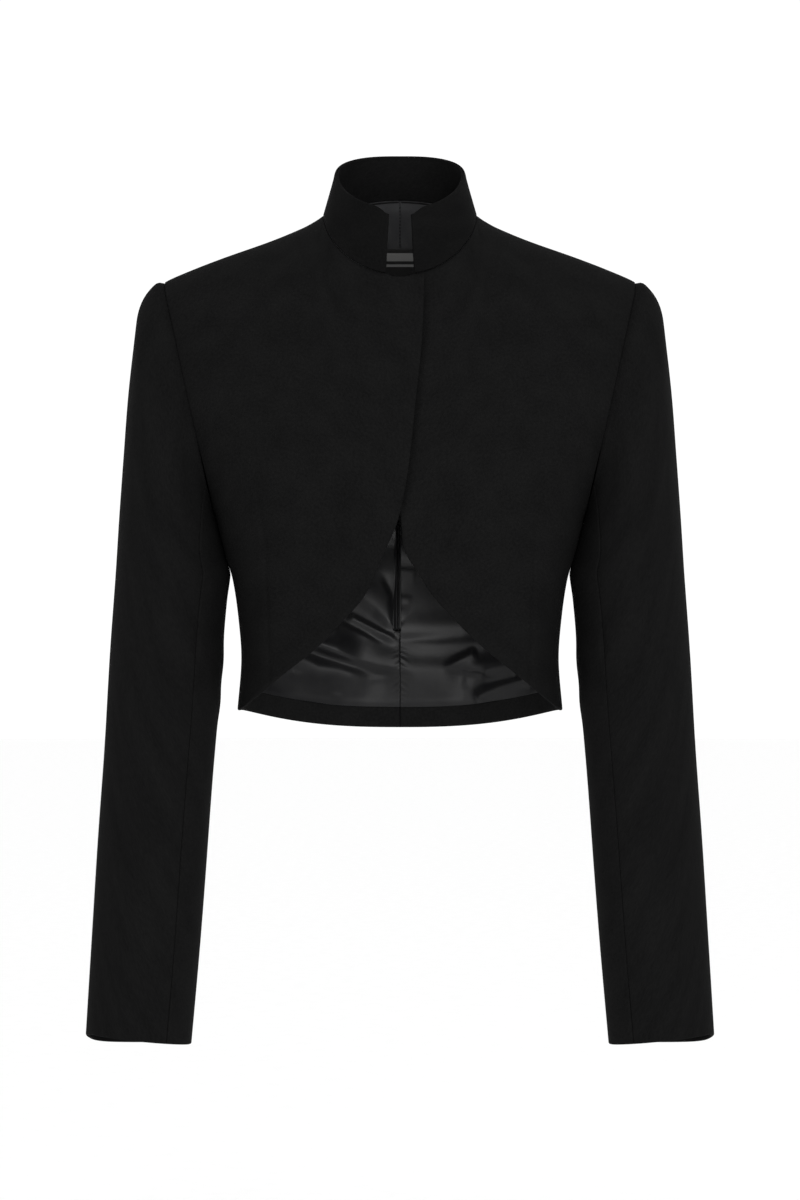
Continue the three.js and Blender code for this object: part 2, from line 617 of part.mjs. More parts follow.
// The collar stands on the neckline. round goes from -1, its right end, past 0 at the middle back, to 1.
function collarPoint(round, up) {
  const side = round < 0 ? -1 : 1;
  const turn = Math.abs(round) * Math.PI;
  const face = turn > Math.PI / 2 ? "front" : "back";
  const frontShare = Math.max(turn / (Math.PI / 2) - 1, 0);
  const lift = side < 0 && face === "front" ? LAP_LIFT : 0;
  const angleFor = (end, halfWidth) =>
    face === "back" ? turn : mix(Math.PI / 2, Math.asin(end / halfWidth), frontShare);
  const base = neckEdge(face, angleFor(COLLAR_END_BASE, NECK_HALF_WIDTH), lift);
  base.z += 2 * SEAM_GAP;
  const top = collarTop(face, angleFor(COLLAR_END_TOP, COLLAR_TOP.halfWidth), frontShare, lift);
  const point = base.lerp(top, up);
  point.x *= side;
  return point;
}

// One of the collar's two layers: its outer face, or the backing that shows inside the neck.
function collarLayer(depth, wall) {
  const outside = [];
  const inside = [];
  for (const up of evenShares(COLLAR_GRID.up)) {
    const outerRow = [];
    const innerRow = [];
    for (let j = 0; j <= COLLAR_GRID.round; j++) {
      const round = mix(-1, 1, j / COLLAR_GRID.round);
      const point = collarPoint(round, up);
      const outward = new THREE.Vector3(point.x, point.y + 8, 0);
      const near = [THREE.MathUtils.clamp(round, -0.985, 0.985), THREE.MathUtils.clamp(up, 0.03, 0.97)];
      const normal = normalOf(collarPoint, ...near, 0.012, 0.02, outward);
      outerRow.push(point.clone().addScaledVector(normal, -depth));
      innerRow.push(point.clone().addScaledVector(normal, -depth - wall));
    }
    outside.push(outerRow);
    inside.push(innerRow);
  }
  return wallBetween(outside, inside);
}

const wool = new THREE.MeshStandardMaterial({ color: WOOL_COLOUR, roughness: 0.95, metalness: 0 });
const satin = new THREE.MeshStandardMaterial({ color: SATIN_COLOUR, roughness: 0.38, metalness: 0 });
const woven = new THREE.MeshStandardMaterial({ color: LABEL_COLOUR, roughness: 0.7, metalness: 0 });

const jacket = new THREE.Group();

function addPiece(name, geometry, material) {
  const mesh = new THREE.Mesh(geometry, material);
  mesh.name = name;
  jacket.add(mesh);
}

for (const [side, word] of [[-1, "right"], [1, "left"]]) {
  addPiece(`front_${word}`, frontPanel(side), wool);
  addPiece(`back_${word}`, backPanel(side), wool);
  addPiece(`top_sleeve_${word}`, topSleeve(side), wool);
  addPiece(`under_sleeve_${word}`, underSleeve(side), wool);
  addPiece(`back_lining_${word}`, backLining(side), satin);
}
addPiece("collar_face", collarLayer(0, COLLAR_FACE_WALL), wool);
addPiece("collar_backing", collarLayer(COLLAR_FACE_WALL + SEAM_GAP, COLLAR_BACKING_WALL), wool);
addPiece("lining_pleat", pleatStrip(), satin);
addPiece("neck_label", neckLabel(), woven);

export default jacket;
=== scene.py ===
"""A cropped black wool jacket with a stand collar, swept open in front over its satin lining.

Sizes are millimetres and meshes are made in metres. X runs to the wearer's left, Y to the back
and Z up. The origin is the middle of the neck, where the wearer's shoulders carry the jacket.
"""
import logging
import math
from dataclasses import dataclass, field
from enum import Enum
from typing import Sequence

import bmesh
import bpy
import numpy as np
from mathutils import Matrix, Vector


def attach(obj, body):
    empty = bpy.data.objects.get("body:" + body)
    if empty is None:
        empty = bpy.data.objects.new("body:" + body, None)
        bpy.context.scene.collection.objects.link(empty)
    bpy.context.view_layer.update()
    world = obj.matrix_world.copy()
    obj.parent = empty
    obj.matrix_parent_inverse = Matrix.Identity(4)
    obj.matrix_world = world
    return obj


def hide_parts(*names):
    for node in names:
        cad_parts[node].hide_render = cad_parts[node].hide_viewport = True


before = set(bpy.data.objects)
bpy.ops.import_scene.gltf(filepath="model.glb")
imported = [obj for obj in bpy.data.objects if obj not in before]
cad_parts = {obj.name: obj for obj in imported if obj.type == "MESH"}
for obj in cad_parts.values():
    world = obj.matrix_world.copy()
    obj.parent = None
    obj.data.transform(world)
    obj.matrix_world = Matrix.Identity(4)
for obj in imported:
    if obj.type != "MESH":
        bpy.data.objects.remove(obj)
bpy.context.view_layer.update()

log = logging.getLogger("jacket")

MM = 0.001
CLOTH_UV = "cloth"
# Turns even shares of a back's angle into even widths.
SPREAD = 1.45
# The share of a wall's thickness that its rounded edge takes off each face.
EDGE_TAKEN = 0.46
Array = np.ndarray
Table = Sequence[tuple[float, ...]]
Span = tuple[float, float]
Colour = tuple[float, float, float]
Place = tuple[float, float, float]


class Face(Enum):
    """The two faces of the trunk."""

    FRONT = "front"
    BACK = "back"


class Side(Enum):
    """The wearer's sides, as the sign of X."""

    RIGHT = -1
    LEFT = 1

    @property
    def word(self) -> str:
        """The side's name, in small letters."""
        return self.name.lower()


def power(value: Array, exponent: float) -> Array:
    """Raises to a power and keeps the sign."""
    return np.sign(value) * np.abs(value) ** exponent


def mix(low: Array, high: Array, share: Array) -> Array:
    """Goes from low to high by a share."""
    return low + (high - low) * share


def ease(value: Array, low: float, high: float) -> Array:
    """Rises smoothly from 0 at low to 1 at high."""
    share = np.clip((np.asarray(value, float) - low) / (high - low), 0.0, 1.0)
    return share * share * (3.0 - 2.0 * share)


def bump(distance: Array, reach: float) -> Array:
    """A soft hump of height 1 round a distance of nothing."""
    return np.exp(-((np.asarray(distance, float) / reach) ** 2))


def grey(tone: float, blue: float = 1.0) -> Colour:
    """Returns a grey, whose blue may be a little more or less than its tone."""
    return (tone, tone, tone * blue)


def unit(vectors: Array) -> Array:
    """Scales vectors to a length of one."""
    return vectors / np.maximum(np.linalg.norm(vectors, axis=-1, keepdims=True), 1e-12)


class Curve:
    """A smooth curve through the rows of a table."""

    def __init__(self, table: Table, source: int, target: int) -> None:
        """Takes two columns of the table.

        Args:
            table: The rows.
            source: The column that the curve is asked by.
            target: The column that it answers with.
        """
        rows = sorted(table, key=lambda row: row[source])
        self.places = np.array([row[source] for row in rows], float)
        self.values = np.array([row[target] for row in rows], float)
        last = len(rows) - 1
        before = np.maximum(np.arange(last + 1) - 1, 0)
        after = np.minimum(np.arange(last + 1) + 1, last)
        rise = self.values[after] - self.values[before]
        self.slopes = rise / (self.places[after] - self.places[before])

    def __call__(self, place: Array) -> Array:
        """Finds the curve's value.

        Args:
            place: Where to ask, in the measure of the source column.

        Returns:
            The value there of the target column.
        """
        place = np.asarray(place, float)
        i = np.clip(np.searchsorted(self.places, place, side="right") - 1, 0, len(self.places) - 2)
        span = self.places[i + 1] - self.places[i]
        t = np.clip((place - self.places[i]) / span, 0.0, 1.0)
        rise = self.values[i + 1] - self.values[i]
        a = self.slopes[i] * span - rise
        b = rise - self.slopes[i + 1] * span
        return self.values[i] + t * rise + t * (1 - t) * (a * (1 - t) + b * t)


def traced(points: Table, shares: Array) -> Array:
    """Walks a smooth line through points.

    Args:
        points: The places that the line passes.
        shares: How far along the line's length to stand, from 0 to 1.

    Returns:
        A row of two numbers for each share.
    """
    knots = np.array(points, float)
    knots = np.vstack([2 * knots[0] - knots[1], knots, 2 * knots[-1] - knots[-2]])
    walked = []
    for p0, p1, p2, p3 in zip(knots, knots[1:], knots[2:], knots[3:]):
        d0, d1, d2 = (math.sqrt(np.linalg.norm(q - p)) for p, q in ((p0, p1), (p1, p2), (p2, p3)))
        leave = ((p1 - p0) / d0 - (p2 - p0) / (d0 + d1) + (p2 - p1) / d1) * d1
        reach = ((p2 - p1) / d1 - (p3 - p1) / (d1 + d2) + (p3 - p2) / d2) * d1
        t = np.linspace(0, 1, 40, endpoint=False)[:, None]
        cubic = (2 * p1 - 2 * p2 + leave + reach) * t**3 + (3 * p2 - 3 * p1 - 2 * leave - reach) * t**2
        walked.append(cubic + leave * t + p1)
    line = np.vstack([*walked, knots[-2][None]])
    length = np.concatenate([[0.0], np.cumsum(np.linalg.norm(np.diff(line, axis=0), axis=1))])
    asked = np.clip(shares, 0, 1) * length[-1]
    return np.stack([np.interp(asked, length, line[:, k]) for k in (0, 1)], axis=-1)


@dataclass(frozen=True)
class Steps:
    """The steps that divide a length, in millimetres: fine near its stops, coarser between them."""

    length: float
    fine: float
    coarse: float
    stops: tuple[float, ...] = (0.0, 1.0)
    growth: float = 0.3
    samples: int = 4001

    def shares(self) -> Array:
        """Divides the length.

        Returns:
            The places between the steps, as shares of the length from 0 to 1.
        """
        stops = np.array(self.stops, float) * self.length
        along = np.linspace(0, self.length, self.samples)
        away = np.abs(along[:, None] - stops[None]).min(axis=1)
        step = np.minimum(self.fine + self.growth * away, self.coarse)
        taken = np.diff(along) * 0.5 * (1 / step[1:] + 1 / step[:-1])
        count = np.concatenate([[0.0], np.cumsum(taken)])
        whole = math.ceil(count[-1])
        return np.interp(np.linspace(0, count[-1], whole + 1), count, along) / self.length


@dataclass(frozen=True)
class Swell:
    """A rounded ridge beside a line, or a groove where its height is negative."""

    height: float
    top: float
    reach: float

    def at(self, distance: Array) -> Array:
        """Returns how far the cloth stands off at a distance from the line."""
        return self.height * bump(distance - self.top, self.reach)


def run_of(points: Array, axis: int) -> Array:
    """Measures how far each point of a grid lies from the start of its row or column.

    Args:
        points: The grid's points.
        axis: 0 to measure up the columns and 1 to measure along the rows.

    Returns:
        The distance of each point, in the measure of the points.
    """
    steps = np.linalg.norm(np.diff(points, axis=axis), axis=-1)
    start = np.zeros_like(np.take(steps, [0], axis=axis))
    return np.concatenate([start, np.cumsum(steps, axis=axis)], axis=axis)


# The trunk's sections: height, half width at the side, depth of the front and depth of the back.
TRUNK = (
    (-445, 140, 102, 82),
    (-415, 138, 102, 80),
    (-372, 134.7, 103, 76),
    (-338, 137, 105, 77),
    (-304, 142, 109, 81),
    (-284, 148, 112, 84),
    (-262, 153.6, 114, 88),
    (-245, 158, 115, 90),
    (-211, 173, 116, 94),
    (-177, 188, 114, 96),
    (-148, 199, 109, 96),
    (-109, 211, 98, 93),
    (-78, 223, 90, 88),
    (-50, 235, 86, 83),
    (-5, 245, 80, 78),
    (40, 250, 76, 76),
)

# The shoulder line: distance from the middle, height, and how far back the line runs.
SHOULDER = (
    (0, 37, 36),
    (34, 33, 30),
    (52, 25, 23.5),
    (59, 16, 19.5),
    (65.5, 6.8, 16.5),
    (74, 0.4, 12.5),
    (84, -5.2, 9),
    (110, -16.5, 3),
    (150, -31, 0),
    (176, -41, 0),
    (200, -51.5, 0),
    (240, -74, 0),
)

# The armhole seam: height and distance from the middle.
ARMHOLE = (
    (-245, 158),
    (-233, 160),
    (-214, 163.8),
    (-192, 168.8),
    (-170, 173.6),
    (-148, 178.5),
    (-118, 185.3),
    (-84, 193.2),
    (-64, 198),
    (-51.5, 200),
)

# The front edge from its tip at the side seam up to the neck: distance past the middle, height.
FRONT_EDGE = (
    (132, -411),
    (121.9, -403),
    (99.7, -385),
    (65.7, -358),
    (45.8, -337),
    (29.2, -318),
    (12.7, -282),
    (2.3, -258),
    (-5.9, -220),
    (-12.7, -160),
    (-18.3, -104),
    (-20.3, -53),
)

# The wearer's left front's edge, which is steeper where it runs in under the right front.
LEFT_FRONT_EDGE = (
    (132, -411),
    (121.9, -403),
    (99.7, -385),
    (65.7, -358),
    (44.5, -337),
    (26.8, -318),
    (13.5, -297),
    (5.5, -285),
    (2.2, -277),
    (1.5, -266),
    (0, -252),
    (-5, -225),
    (-11, -170),
    (-18.3, -104),
    (-20.3, -53),
)

# The sleeve's sections: height, outer side, inner side, half depth, how far forward its middle is.
SLEEVE = (
    (-700, 264.2, 175.6, 48, 43),
    (-610, 259.6, 168.1, 50, 31),
    (-508, 254, 161, 54, 18),
    (-406, 248, 153, 58, 8),
    (-355, 244.9, 149.9, 61, 5),
    (-321, 242.7, 146.8, 63, 3),
    (-304, 241.6, 144.4, 64, 2),
    (-298, 241.2, 144.1, 64, 2),
    (-284, 240.3, 148.1, 65, 2),
    (-262, 239, 153.8, 65, 1),
    (-245, 237.9, 158.2, 65, 0),
    (-200, 234.6, 164, 64, 0),
    (-148, 230.5, 166, 61, 2),
    (-100, 225.2, 168, 57, 2),
    (-51, 219.5, 170, 52, 1),
)

UNDERARM_HEIGHT = -245.0
HEM_HEIGHT = -415.0
SHOULDER_TIP = 200.0


@dataclass(frozen=True)
class TrunkForm:
    """The surface of the jacket's trunk, drawn on an angle round it and a drop from the shoulders."""

    front_squareness: float = 2.4
    back_squareness: float = 2.9
    front_turn: float = 110.0
    back_turn: float = 70.0
    ridge_softness: float = 22.0
    slope_top: float = 28.0
    slope_fall: float = 0.385
    slope_round: float = 45.0
    slope_deep: float = 70.0
    # The fullest place of each front: how far out and how high it is, its half width and
    # half height, and how proud it stands.
    bust: tuple[float, float, float, float, float] = (88.0, -208.0, 50.0, 60.0, 7.0)
    neck_half_width: float = 65.5
    side_neck: float = 6.8
    front_neck: float = -51.0
    back_neck: float = 24.5
    hem_dip: float = 17.0
    lap_full: float = 24.0
    lap_end: float = 62.0
    # How far the fronts' free corners dip, where the dip starts and where it is full.
    free_edge: tuple[float, float, float] = (1.7, 11.0, 6.0)
    back_neck_round: float = 1.5
    front_neck_round: float = 1.1
    hem_round: float = 2.6
    place_rounds: int = 24
    place_share: float = 0.65
    point_rounds: int = 12
    probe_turn: float = 0.004
    probe_drop: float = 0.6
    upward_lean: float = 0.3
    side: Curve = field(default_factory=lambda: Curve(TRUNK, 0, 1))
    front_depth: Curve = field(default_factory=lambda: Curve(TRUNK, 0, 2))
    back_depth: Curve = field(default_factory=lambda: Curve(TRUNK, 0, 3))
    ridge_height: Curve = field(default_factory=lambda: Curve(SHOULDER, 0, 1))
    ridge_back: Curve = field(default_factory=lambda: Curve(SHOULDER, 0, 2))
    armhole: Curve = field(default_factory=lambda: Curve(ARMHOLE, 0, 1))

    def squareness(self, face: Face) -> float:
        """Returns how square the section of a face is."""
        return self.front_squareness if face is Face.FRONT else self.back_squareness

    def felt_ridge(self, x: Array, below: Array) -> Array:
        """Returns the shoulder line's height as it is felt at a depth below it."""
        slope = self.slope_top - self.slope_fall * np.hypot(x, self.slope_round)
        return mix(self.ridge_height(np.abs(x)), slope, ease(below, 0, self.slope_deep))

    def place(self, face: Face, x: Array, z: Array) -> Array:
        """Finds where a distance from the middle and a height lie on the surface.

        Args:
            face: The trunk's face.
            x: Distance from the middle, in millimetres.
            z: Height.

        Returns:
            The angle and the drop, as the last axis.
        """
        x, z = np.broadcast_arrays(np.asarray(x, float), np.asarray(z, float))
        share = np.clip(x / self.side(z), -1, 1)
        angle = np.arcsin(power(share, self.squareness(face) / 2))
        below = np.maximum(self.ridge_height(np.abs(x)) - z, 0)
        for _ in range(self.place_rounds):
            below = mix(below, np.maximum(self.felt_ridge(x, below) - z, 0), self.place_share)
        soft = self.ridge_softness
        return np.stack([angle, np.sqrt(np.maximum((below + soft) ** 2 - soft**2, 0))], axis=-1)

    def point(self, face: Face, place: Array, lift: float = 0.0) -> Array:
        """Finds points of the surface on the wearer's left half.

        Args:
            face: The trunk's face.
            place: Angles and drops, as the last axis.
            lift: How far the lapping front stands off, in millimetres.

        Returns:
            The points.
        """
        angle, drop = place[..., 0], place[..., 1]
        squareness = self.squareness(face)
        below = np.hypot(drop, self.ridge_softness) - self.ridge_softness
        across = power(np.sin(angle), 2 / squareness)
        forth = power(np.cos(angle), 2 / squareness)
        x = np.zeros_like(below)
        z = self.felt_ridge(x, below) - below
        for _ in range(self.point_rounds):
            x = self.side(z) * across
            z = self.felt_ridge(x, below) - below
        turn = self.front_turn if face is Face.FRONT else self.back_turn
        over = np.sign(drop) * np.sqrt(1 - (1 - np.minimum(below / turn, 1)) ** 2)
        ridge = self.ridge_back(np.abs(x))
        if face is Face.BACK:
            y = ridge + (self.back_depth(z) * forth - ridge) * over
            return np.stack([x, y, z], axis=-1)
        bust_x, bust_z, wide, tall, proud = self.bust
        from_bust = np.hypot((np.abs(x) - bust_x) / wide, (z - bust_z) / tall)
        depth = self.front_depth(z) + proud * np.exp(-(from_bust**2))
        lap = lift * (1 - ease(x, self.lap_full, self.lap_end))
        y = ridge - (depth * forth + ridge) * over - lap
        return np.stack([x, y, z], axis=-1)

    def normal(self, face: Face, place: Array, lift: float = 0.0) -> Array:
        """Finds which way the surface faces.

        Args:
            face: The trunk's face.
            place: Angles and drops, as the last axis.
            lift: How far the lapping front stands off, in millimetres.

        Returns:
            The outward unit normals.
        """
        turn, fall = np.array([self.probe_turn, 0.0]), np.array([0.0, self.probe_drop])
        along = self.point(face, place + turn, lift) - self.point(face, place - turn, lift)
        down = self.point(face, place + fall, lift) - self.point(face, place - fall, lift)
        normal = unit(np.cross(along, down))
        point = self.point(face, place, lift)
        outward = unit(point * [1, 1, 0]) + [0, 0, self.upward_lean]
        facing = np.sign((normal * outward).sum(axis=-1, keepdims=True))
        return normal * np.where(facing == 0, 1, facing)

    def neckline(self, face: Face, angle: Array) -> Array:
        """Finds the neckline, which dips a little at the fronts' free corners.

        Args:
            face: The trunk's face.
            angle: Angles from the middle to the side of the neck.

        Returns:
            How far out and how high the line is, as the last axis.
        """
        middle = np.maximum(np.cos(angle), 0)
        x = self.neck_half_width * np.sin(angle)
        if face is Face.BACK:
            back = mix(self.side_neck, self.back_neck, middle**self.back_neck_round)
            return np.stack([x, back], axis=-1)
        drop, start, full = self.free_edge
        front = mix(self.side_neck, self.front_neck, middle**self.front_neck_round)
        return np.stack([x, front - drop * (1 - ease(x, full, start))], axis=-1)

    def armhole_height(self, angle: Array) -> Array:
        """Returns the armhole's height at angles from the shoulder tip to the underarm."""
        half = (float(self.ridge_height(SHOULDER_TIP)) - UNDERARM_HEIGHT) / 2
        return UNDERARM_HEIGHT + half + half * np.cos(angle)

    def hem_at(self, x: Array) -> Array:
        """Returns the back hem's height at distances from the middle."""
        share = np.minimum(np.abs(x) / float(self.side(HEM_HEIGHT)), 1)
        return HEM_HEIGHT - self.hem_dip * (1 - share**self.hem_round)

    @property
    def front_neck_angle(self) -> float:
        """The angle at which the front edge meets the neckline."""
        return math.asin(FRONT_EDGE[-1][0] / self.neck_half_width)

    def patch(
        self,
        face: Face,
        across: Array,
        up: Array,
        side_share: float,
        neck_share: float,
        free_edge: Table = FRONT_EDGE,
    ) -> Array:
        """Spreads a grid of places over a panel between its four edges.

        Args:
            face: The trunk's face.
            across: Shares from the middle edge to the side.
            up: Shares from the hem to the neck and shoulder.
            side_share: Where on the way up the side seam ends and the armhole starts.
            neck_share: Where on the way across the neckline ends and the shoulder starts.
            free_edge: The front's free edge, as distances past the middle and heights.

        Returns:
            Angles and drops, by rows and columns.
        """
        seam_z = mix(HEM_HEIGHT, UNDERARM_HEIGHT, np.minimum(up / side_share, 1))
        hole_z = self.armhole_height(np.pi * (1 - np.clip((up - side_share) / (1 - side_share), 0, 1)))
        low = up <= side_share
        outer_z = np.where(low, seam_z, hole_z)
        outer = self.place(face, np.where(low, self.side(outer_z), self.armhole(outer_z)), outer_z)
        neck_start = self.front_neck_angle if face is Face.FRONT else 0.0
        on_neck = across <= neck_share
        neck = self.neckline(face, mix(neck_start, np.pi / 2, np.minimum(across / neck_share, 1)))
        rest = np.clip((across - neck_share) / (1 - neck_share), 0, 1)
        shoulder_x = mix(self.neck_half_width, SHOULDER_TIP, rest)
        shoulder = np.stack([shoulder_x, self.ridge_height(shoulder_x)], axis=-1)
        top = self.place(face, *np.where(on_neck[:, None], neck, shoulder).T)
        if face is Face.FRONT:
            inner = self.place(face, *traced(free_edge, up).T)
            inner[-1] = top[0]
            bottom = mix(inner[0], outer[0], across[:, None])
        else:
            inner = self.place(face, 0.0, mix(float(self.hem_at(0.0)), self.back_neck, up))
            inner[-1] = top[0]
            turn = across * outer[0, 0]
            reach = float(self.side(HEM_HEIGHT)) * np.sin(turn) ** (2 / self.back_squareness)
            bottom = self.place(face, reach, self.hem_at(reach))
        a, b = across[None, :, None], up[:, None, None]
        sides = mix(inner[:, None], outer[:, None], a)
        ends = mix(bottom[None], top[None], b)
        corners = mix(mix(bottom[0], bottom[-1], a), mix(top[0], top[-1], a), b)
        return sides + ends - corners


@dataclass(frozen=True)
class Crease:
    """A soft ridge, or a trough where its rise is negative, along a line on the cloth."""

    line: tuple[Span, ...]
    rise: float
    above: float
    below: float
    fade: Span = (8.0, 8.0)

    def height(self, across: Array, up: Array) -> Array:
        """Finds how far the cloth stands off.

        Args:
            across: The first number of each place, as in the line.
            up: The second number.

        Returns:
            The height in millimetres.
        """
        nearest = np.full(np.shape(across), np.inf)
        signed = np.zeros(np.shape(across))
        along = np.zeros(np.shape(across))
        walked = 0.0
        for (x0, z0), (x1, z1) in zip(self.line, self.line[1:]):
            dx, dz = x1 - x0, z1 - z0
            length = math.hypot(dx, dz)
            t = np.clip(((across - x0) * dx + (up - z0) * dz) / length**2, 0, 1)
            px, pz = across - (x0 + t * dx), up - (z0 + t * dz)
            away = np.hypot(px, pz)
            side = np.where((dx * pz - dz * px) * (1 if dx >= 0 else -1) >= 0, 1.0, -1.0)
            closer = away < nearest
            signed = np.where(closer, away * side, signed)
            along = np.where(closer, walked + t * length, along)
            nearest = np.minimum(nearest, away)
            walked += length
        reach = np.where(signed > 0, self.above, self.below)
        fading = ease(along, 0, self.fade[0]) * ease(walked - along, 0, self.fade[1])
        return self.rise * np.exp(-((signed / reach) ** 2)) * fading


def creased(creases: Sequence[Crease], across: Array, up: Array) -> Array:
    """Adds up the heights of several creases."""
    return sum((crease.height(across, up) for crease in creases), np.zeros(np.shape(across)))


def distance_to(line: Table, across: Array, up: Array) -> Array:
    """Measures how far places lie from a line through points.

    Args:
        line: The points.
        across: The first number of each place, as in the line.
        up: The second number.

    Returns:
        The distances.
    """
    nearest = np.full(np.shape(across), np.inf)
    for (x0, z0), (x1, z1) in zip(line, line[1:]):
        dx, dz = x1 - x0, z1 - z0
        t = np.clip(((across - x0) * dx + (up - z0) * dz) / (dx * dx + dz * dz), 0, 1)
        nearest = np.minimum(nearest, np.hypot(across - (x0 + t * dx), up - (z0 + t * dz)))
    return nearest


@dataclass(frozen=True)
class Cut:
    """The flat cut of a cloth piece: width, length and area, in metres and square metres."""

    width: float
    length: float
    area: float


@dataclass
class Wall:
    """A cut piece of cloth: a face sheet on a grid, a back sheet behind it, and rounded edges.

    Lengths are millimetres. The UV map starts at `start` above the first row, and each of the
    marks is a number for each point, which a finish can read by its name.
    """

    name: str
    points: Array
    outward: Array
    thickness: Array | float
    relief: Array | float = 0.0
    edge_round: float = 1.5
    start: float = 0.0
    marks: dict[str, Array] = field(default_factory=dict)

    @property
    def across(self) -> Array:
        """How far each point is from the first column."""
        return run_of(self.points, 1)

    @property
    def up(self) -> Array:
        """How far each point is from the first row."""
        return run_of(self.points, 0)

    def edge_distance(self) -> Array:
        """Measures how far each point is from the nearest edge.

        Returns:
            The distances, in millimetres.
        """
        across, up = self.across, self.up
        sides = np.minimum(across, across[:, -1:] - across)
        return np.minimum(sides, np.minimum(up, up[-1:] - up))

    def build(self) -> bpy.types.Object:
        """Makes the closed mesh, with its own UV map in metres.

        Returns:
            The new object, linked to the scene.
        """
        rows, columns = self.points.shape[:2]
        inset = 1 - np.minimum(self.edge_distance() / self.edge_round, 1)
        rounding = EDGE_TAKEN * np.asarray(self.thickness) * (1 - np.sqrt(np.maximum(1 - inset**2, 0)))
        face = self.points + self.outward * (self.relief - rounding)[..., None]
        back = self.points + self.outward * (self.relief - self.thickness + rounding)[..., None]
        maker = bmesh.new()
        bmesh.ops.create_grid(maker, x_segments=columns - 1, y_segments=rows - 1, size=0.5)
        is_back = maker.verts.layers.int.new("is_back")
        grid_index = maker.verts.layers.int.new("grid_index")
        made = bmesh.ops.extrude_face_region(maker, geom=maker.faces[:], use_keep_orig=True)
        for vert in made["geom"]:
            if isinstance(vert, bmesh.types.BMVert):
                vert[is_back] = 1
        for vert in maker.verts:
            i = round((vert.co.y + 0.5) * (rows - 1))
            j = round((vert.co.x + 0.5) * (columns - 1))
            vert[grid_index] = i * columns + j
            vert.co = (back if vert[is_back] else face)[i, j] * MM
        bmesh.ops.recalc_face_normals(maker, faces=maker.faces[:])
        mesh = bpy.data.meshes.new(self.name)
        maker.to_mesh(mesh)
        maker.free()
        self._dress_grid(mesh)
        made_object = bpy.data.objects.new(self.name, mesh)
        bpy.context.scene.collection.objects.link(made_object)
        return made_object

    def _dress_grid(self, mesh: bpy.types.Mesh) -> None:
        """Gives the mesh its UV map, its marks and smooth shading.

        Args:
            mesh: The new mesh, whose points still carry their places on the grid.
        """
        index = np.zeros(len(mesh.vertices), np.int32)
        mesh.attributes["grid_index"].data.foreach_get("value", index)
        corner = np.zeros(len(mesh.loops), np.int32)
        mesh.loops.foreach_get("vertex_index", corner)
        flat = np.stack([self.across.ravel(), self.up.ravel() + self.start], axis=-1)[index[corner]] * MM
        mesh.uv_layers.new(name=CLOTH_UV).data.foreach_set("uv", flat.ravel())
        for name, values in self.marks.items():
            mark = mesh.attributes.new(name, "FLOAT", "POINT")
            mark.data.foreach_set("value", np.asarray(values, np.float32).ravel()[index])
        inside = np.zeros(len(mesh.vertices), np.int32)
        mesh.attributes["is_back"].data.foreach_get("value", inside)
        mesh.attributes.new("inside", "FLOAT", "POINT").data.foreach_set("value", inside.astype(np.float32))
        for name in ("grid_index", "is_back"):
            mesh.attributes.remove(mesh.attributes[name])
        mesh.polygons.foreach_set("use_smooth", np.ones(len(mesh.polygons), bool))
        mesh.update()


def on_side(vectors: Array, side: Side) -> Array:
    """Mirrors the wearer's left half to the side that is asked for."""
    return vectors * [side.value, 1, 1]


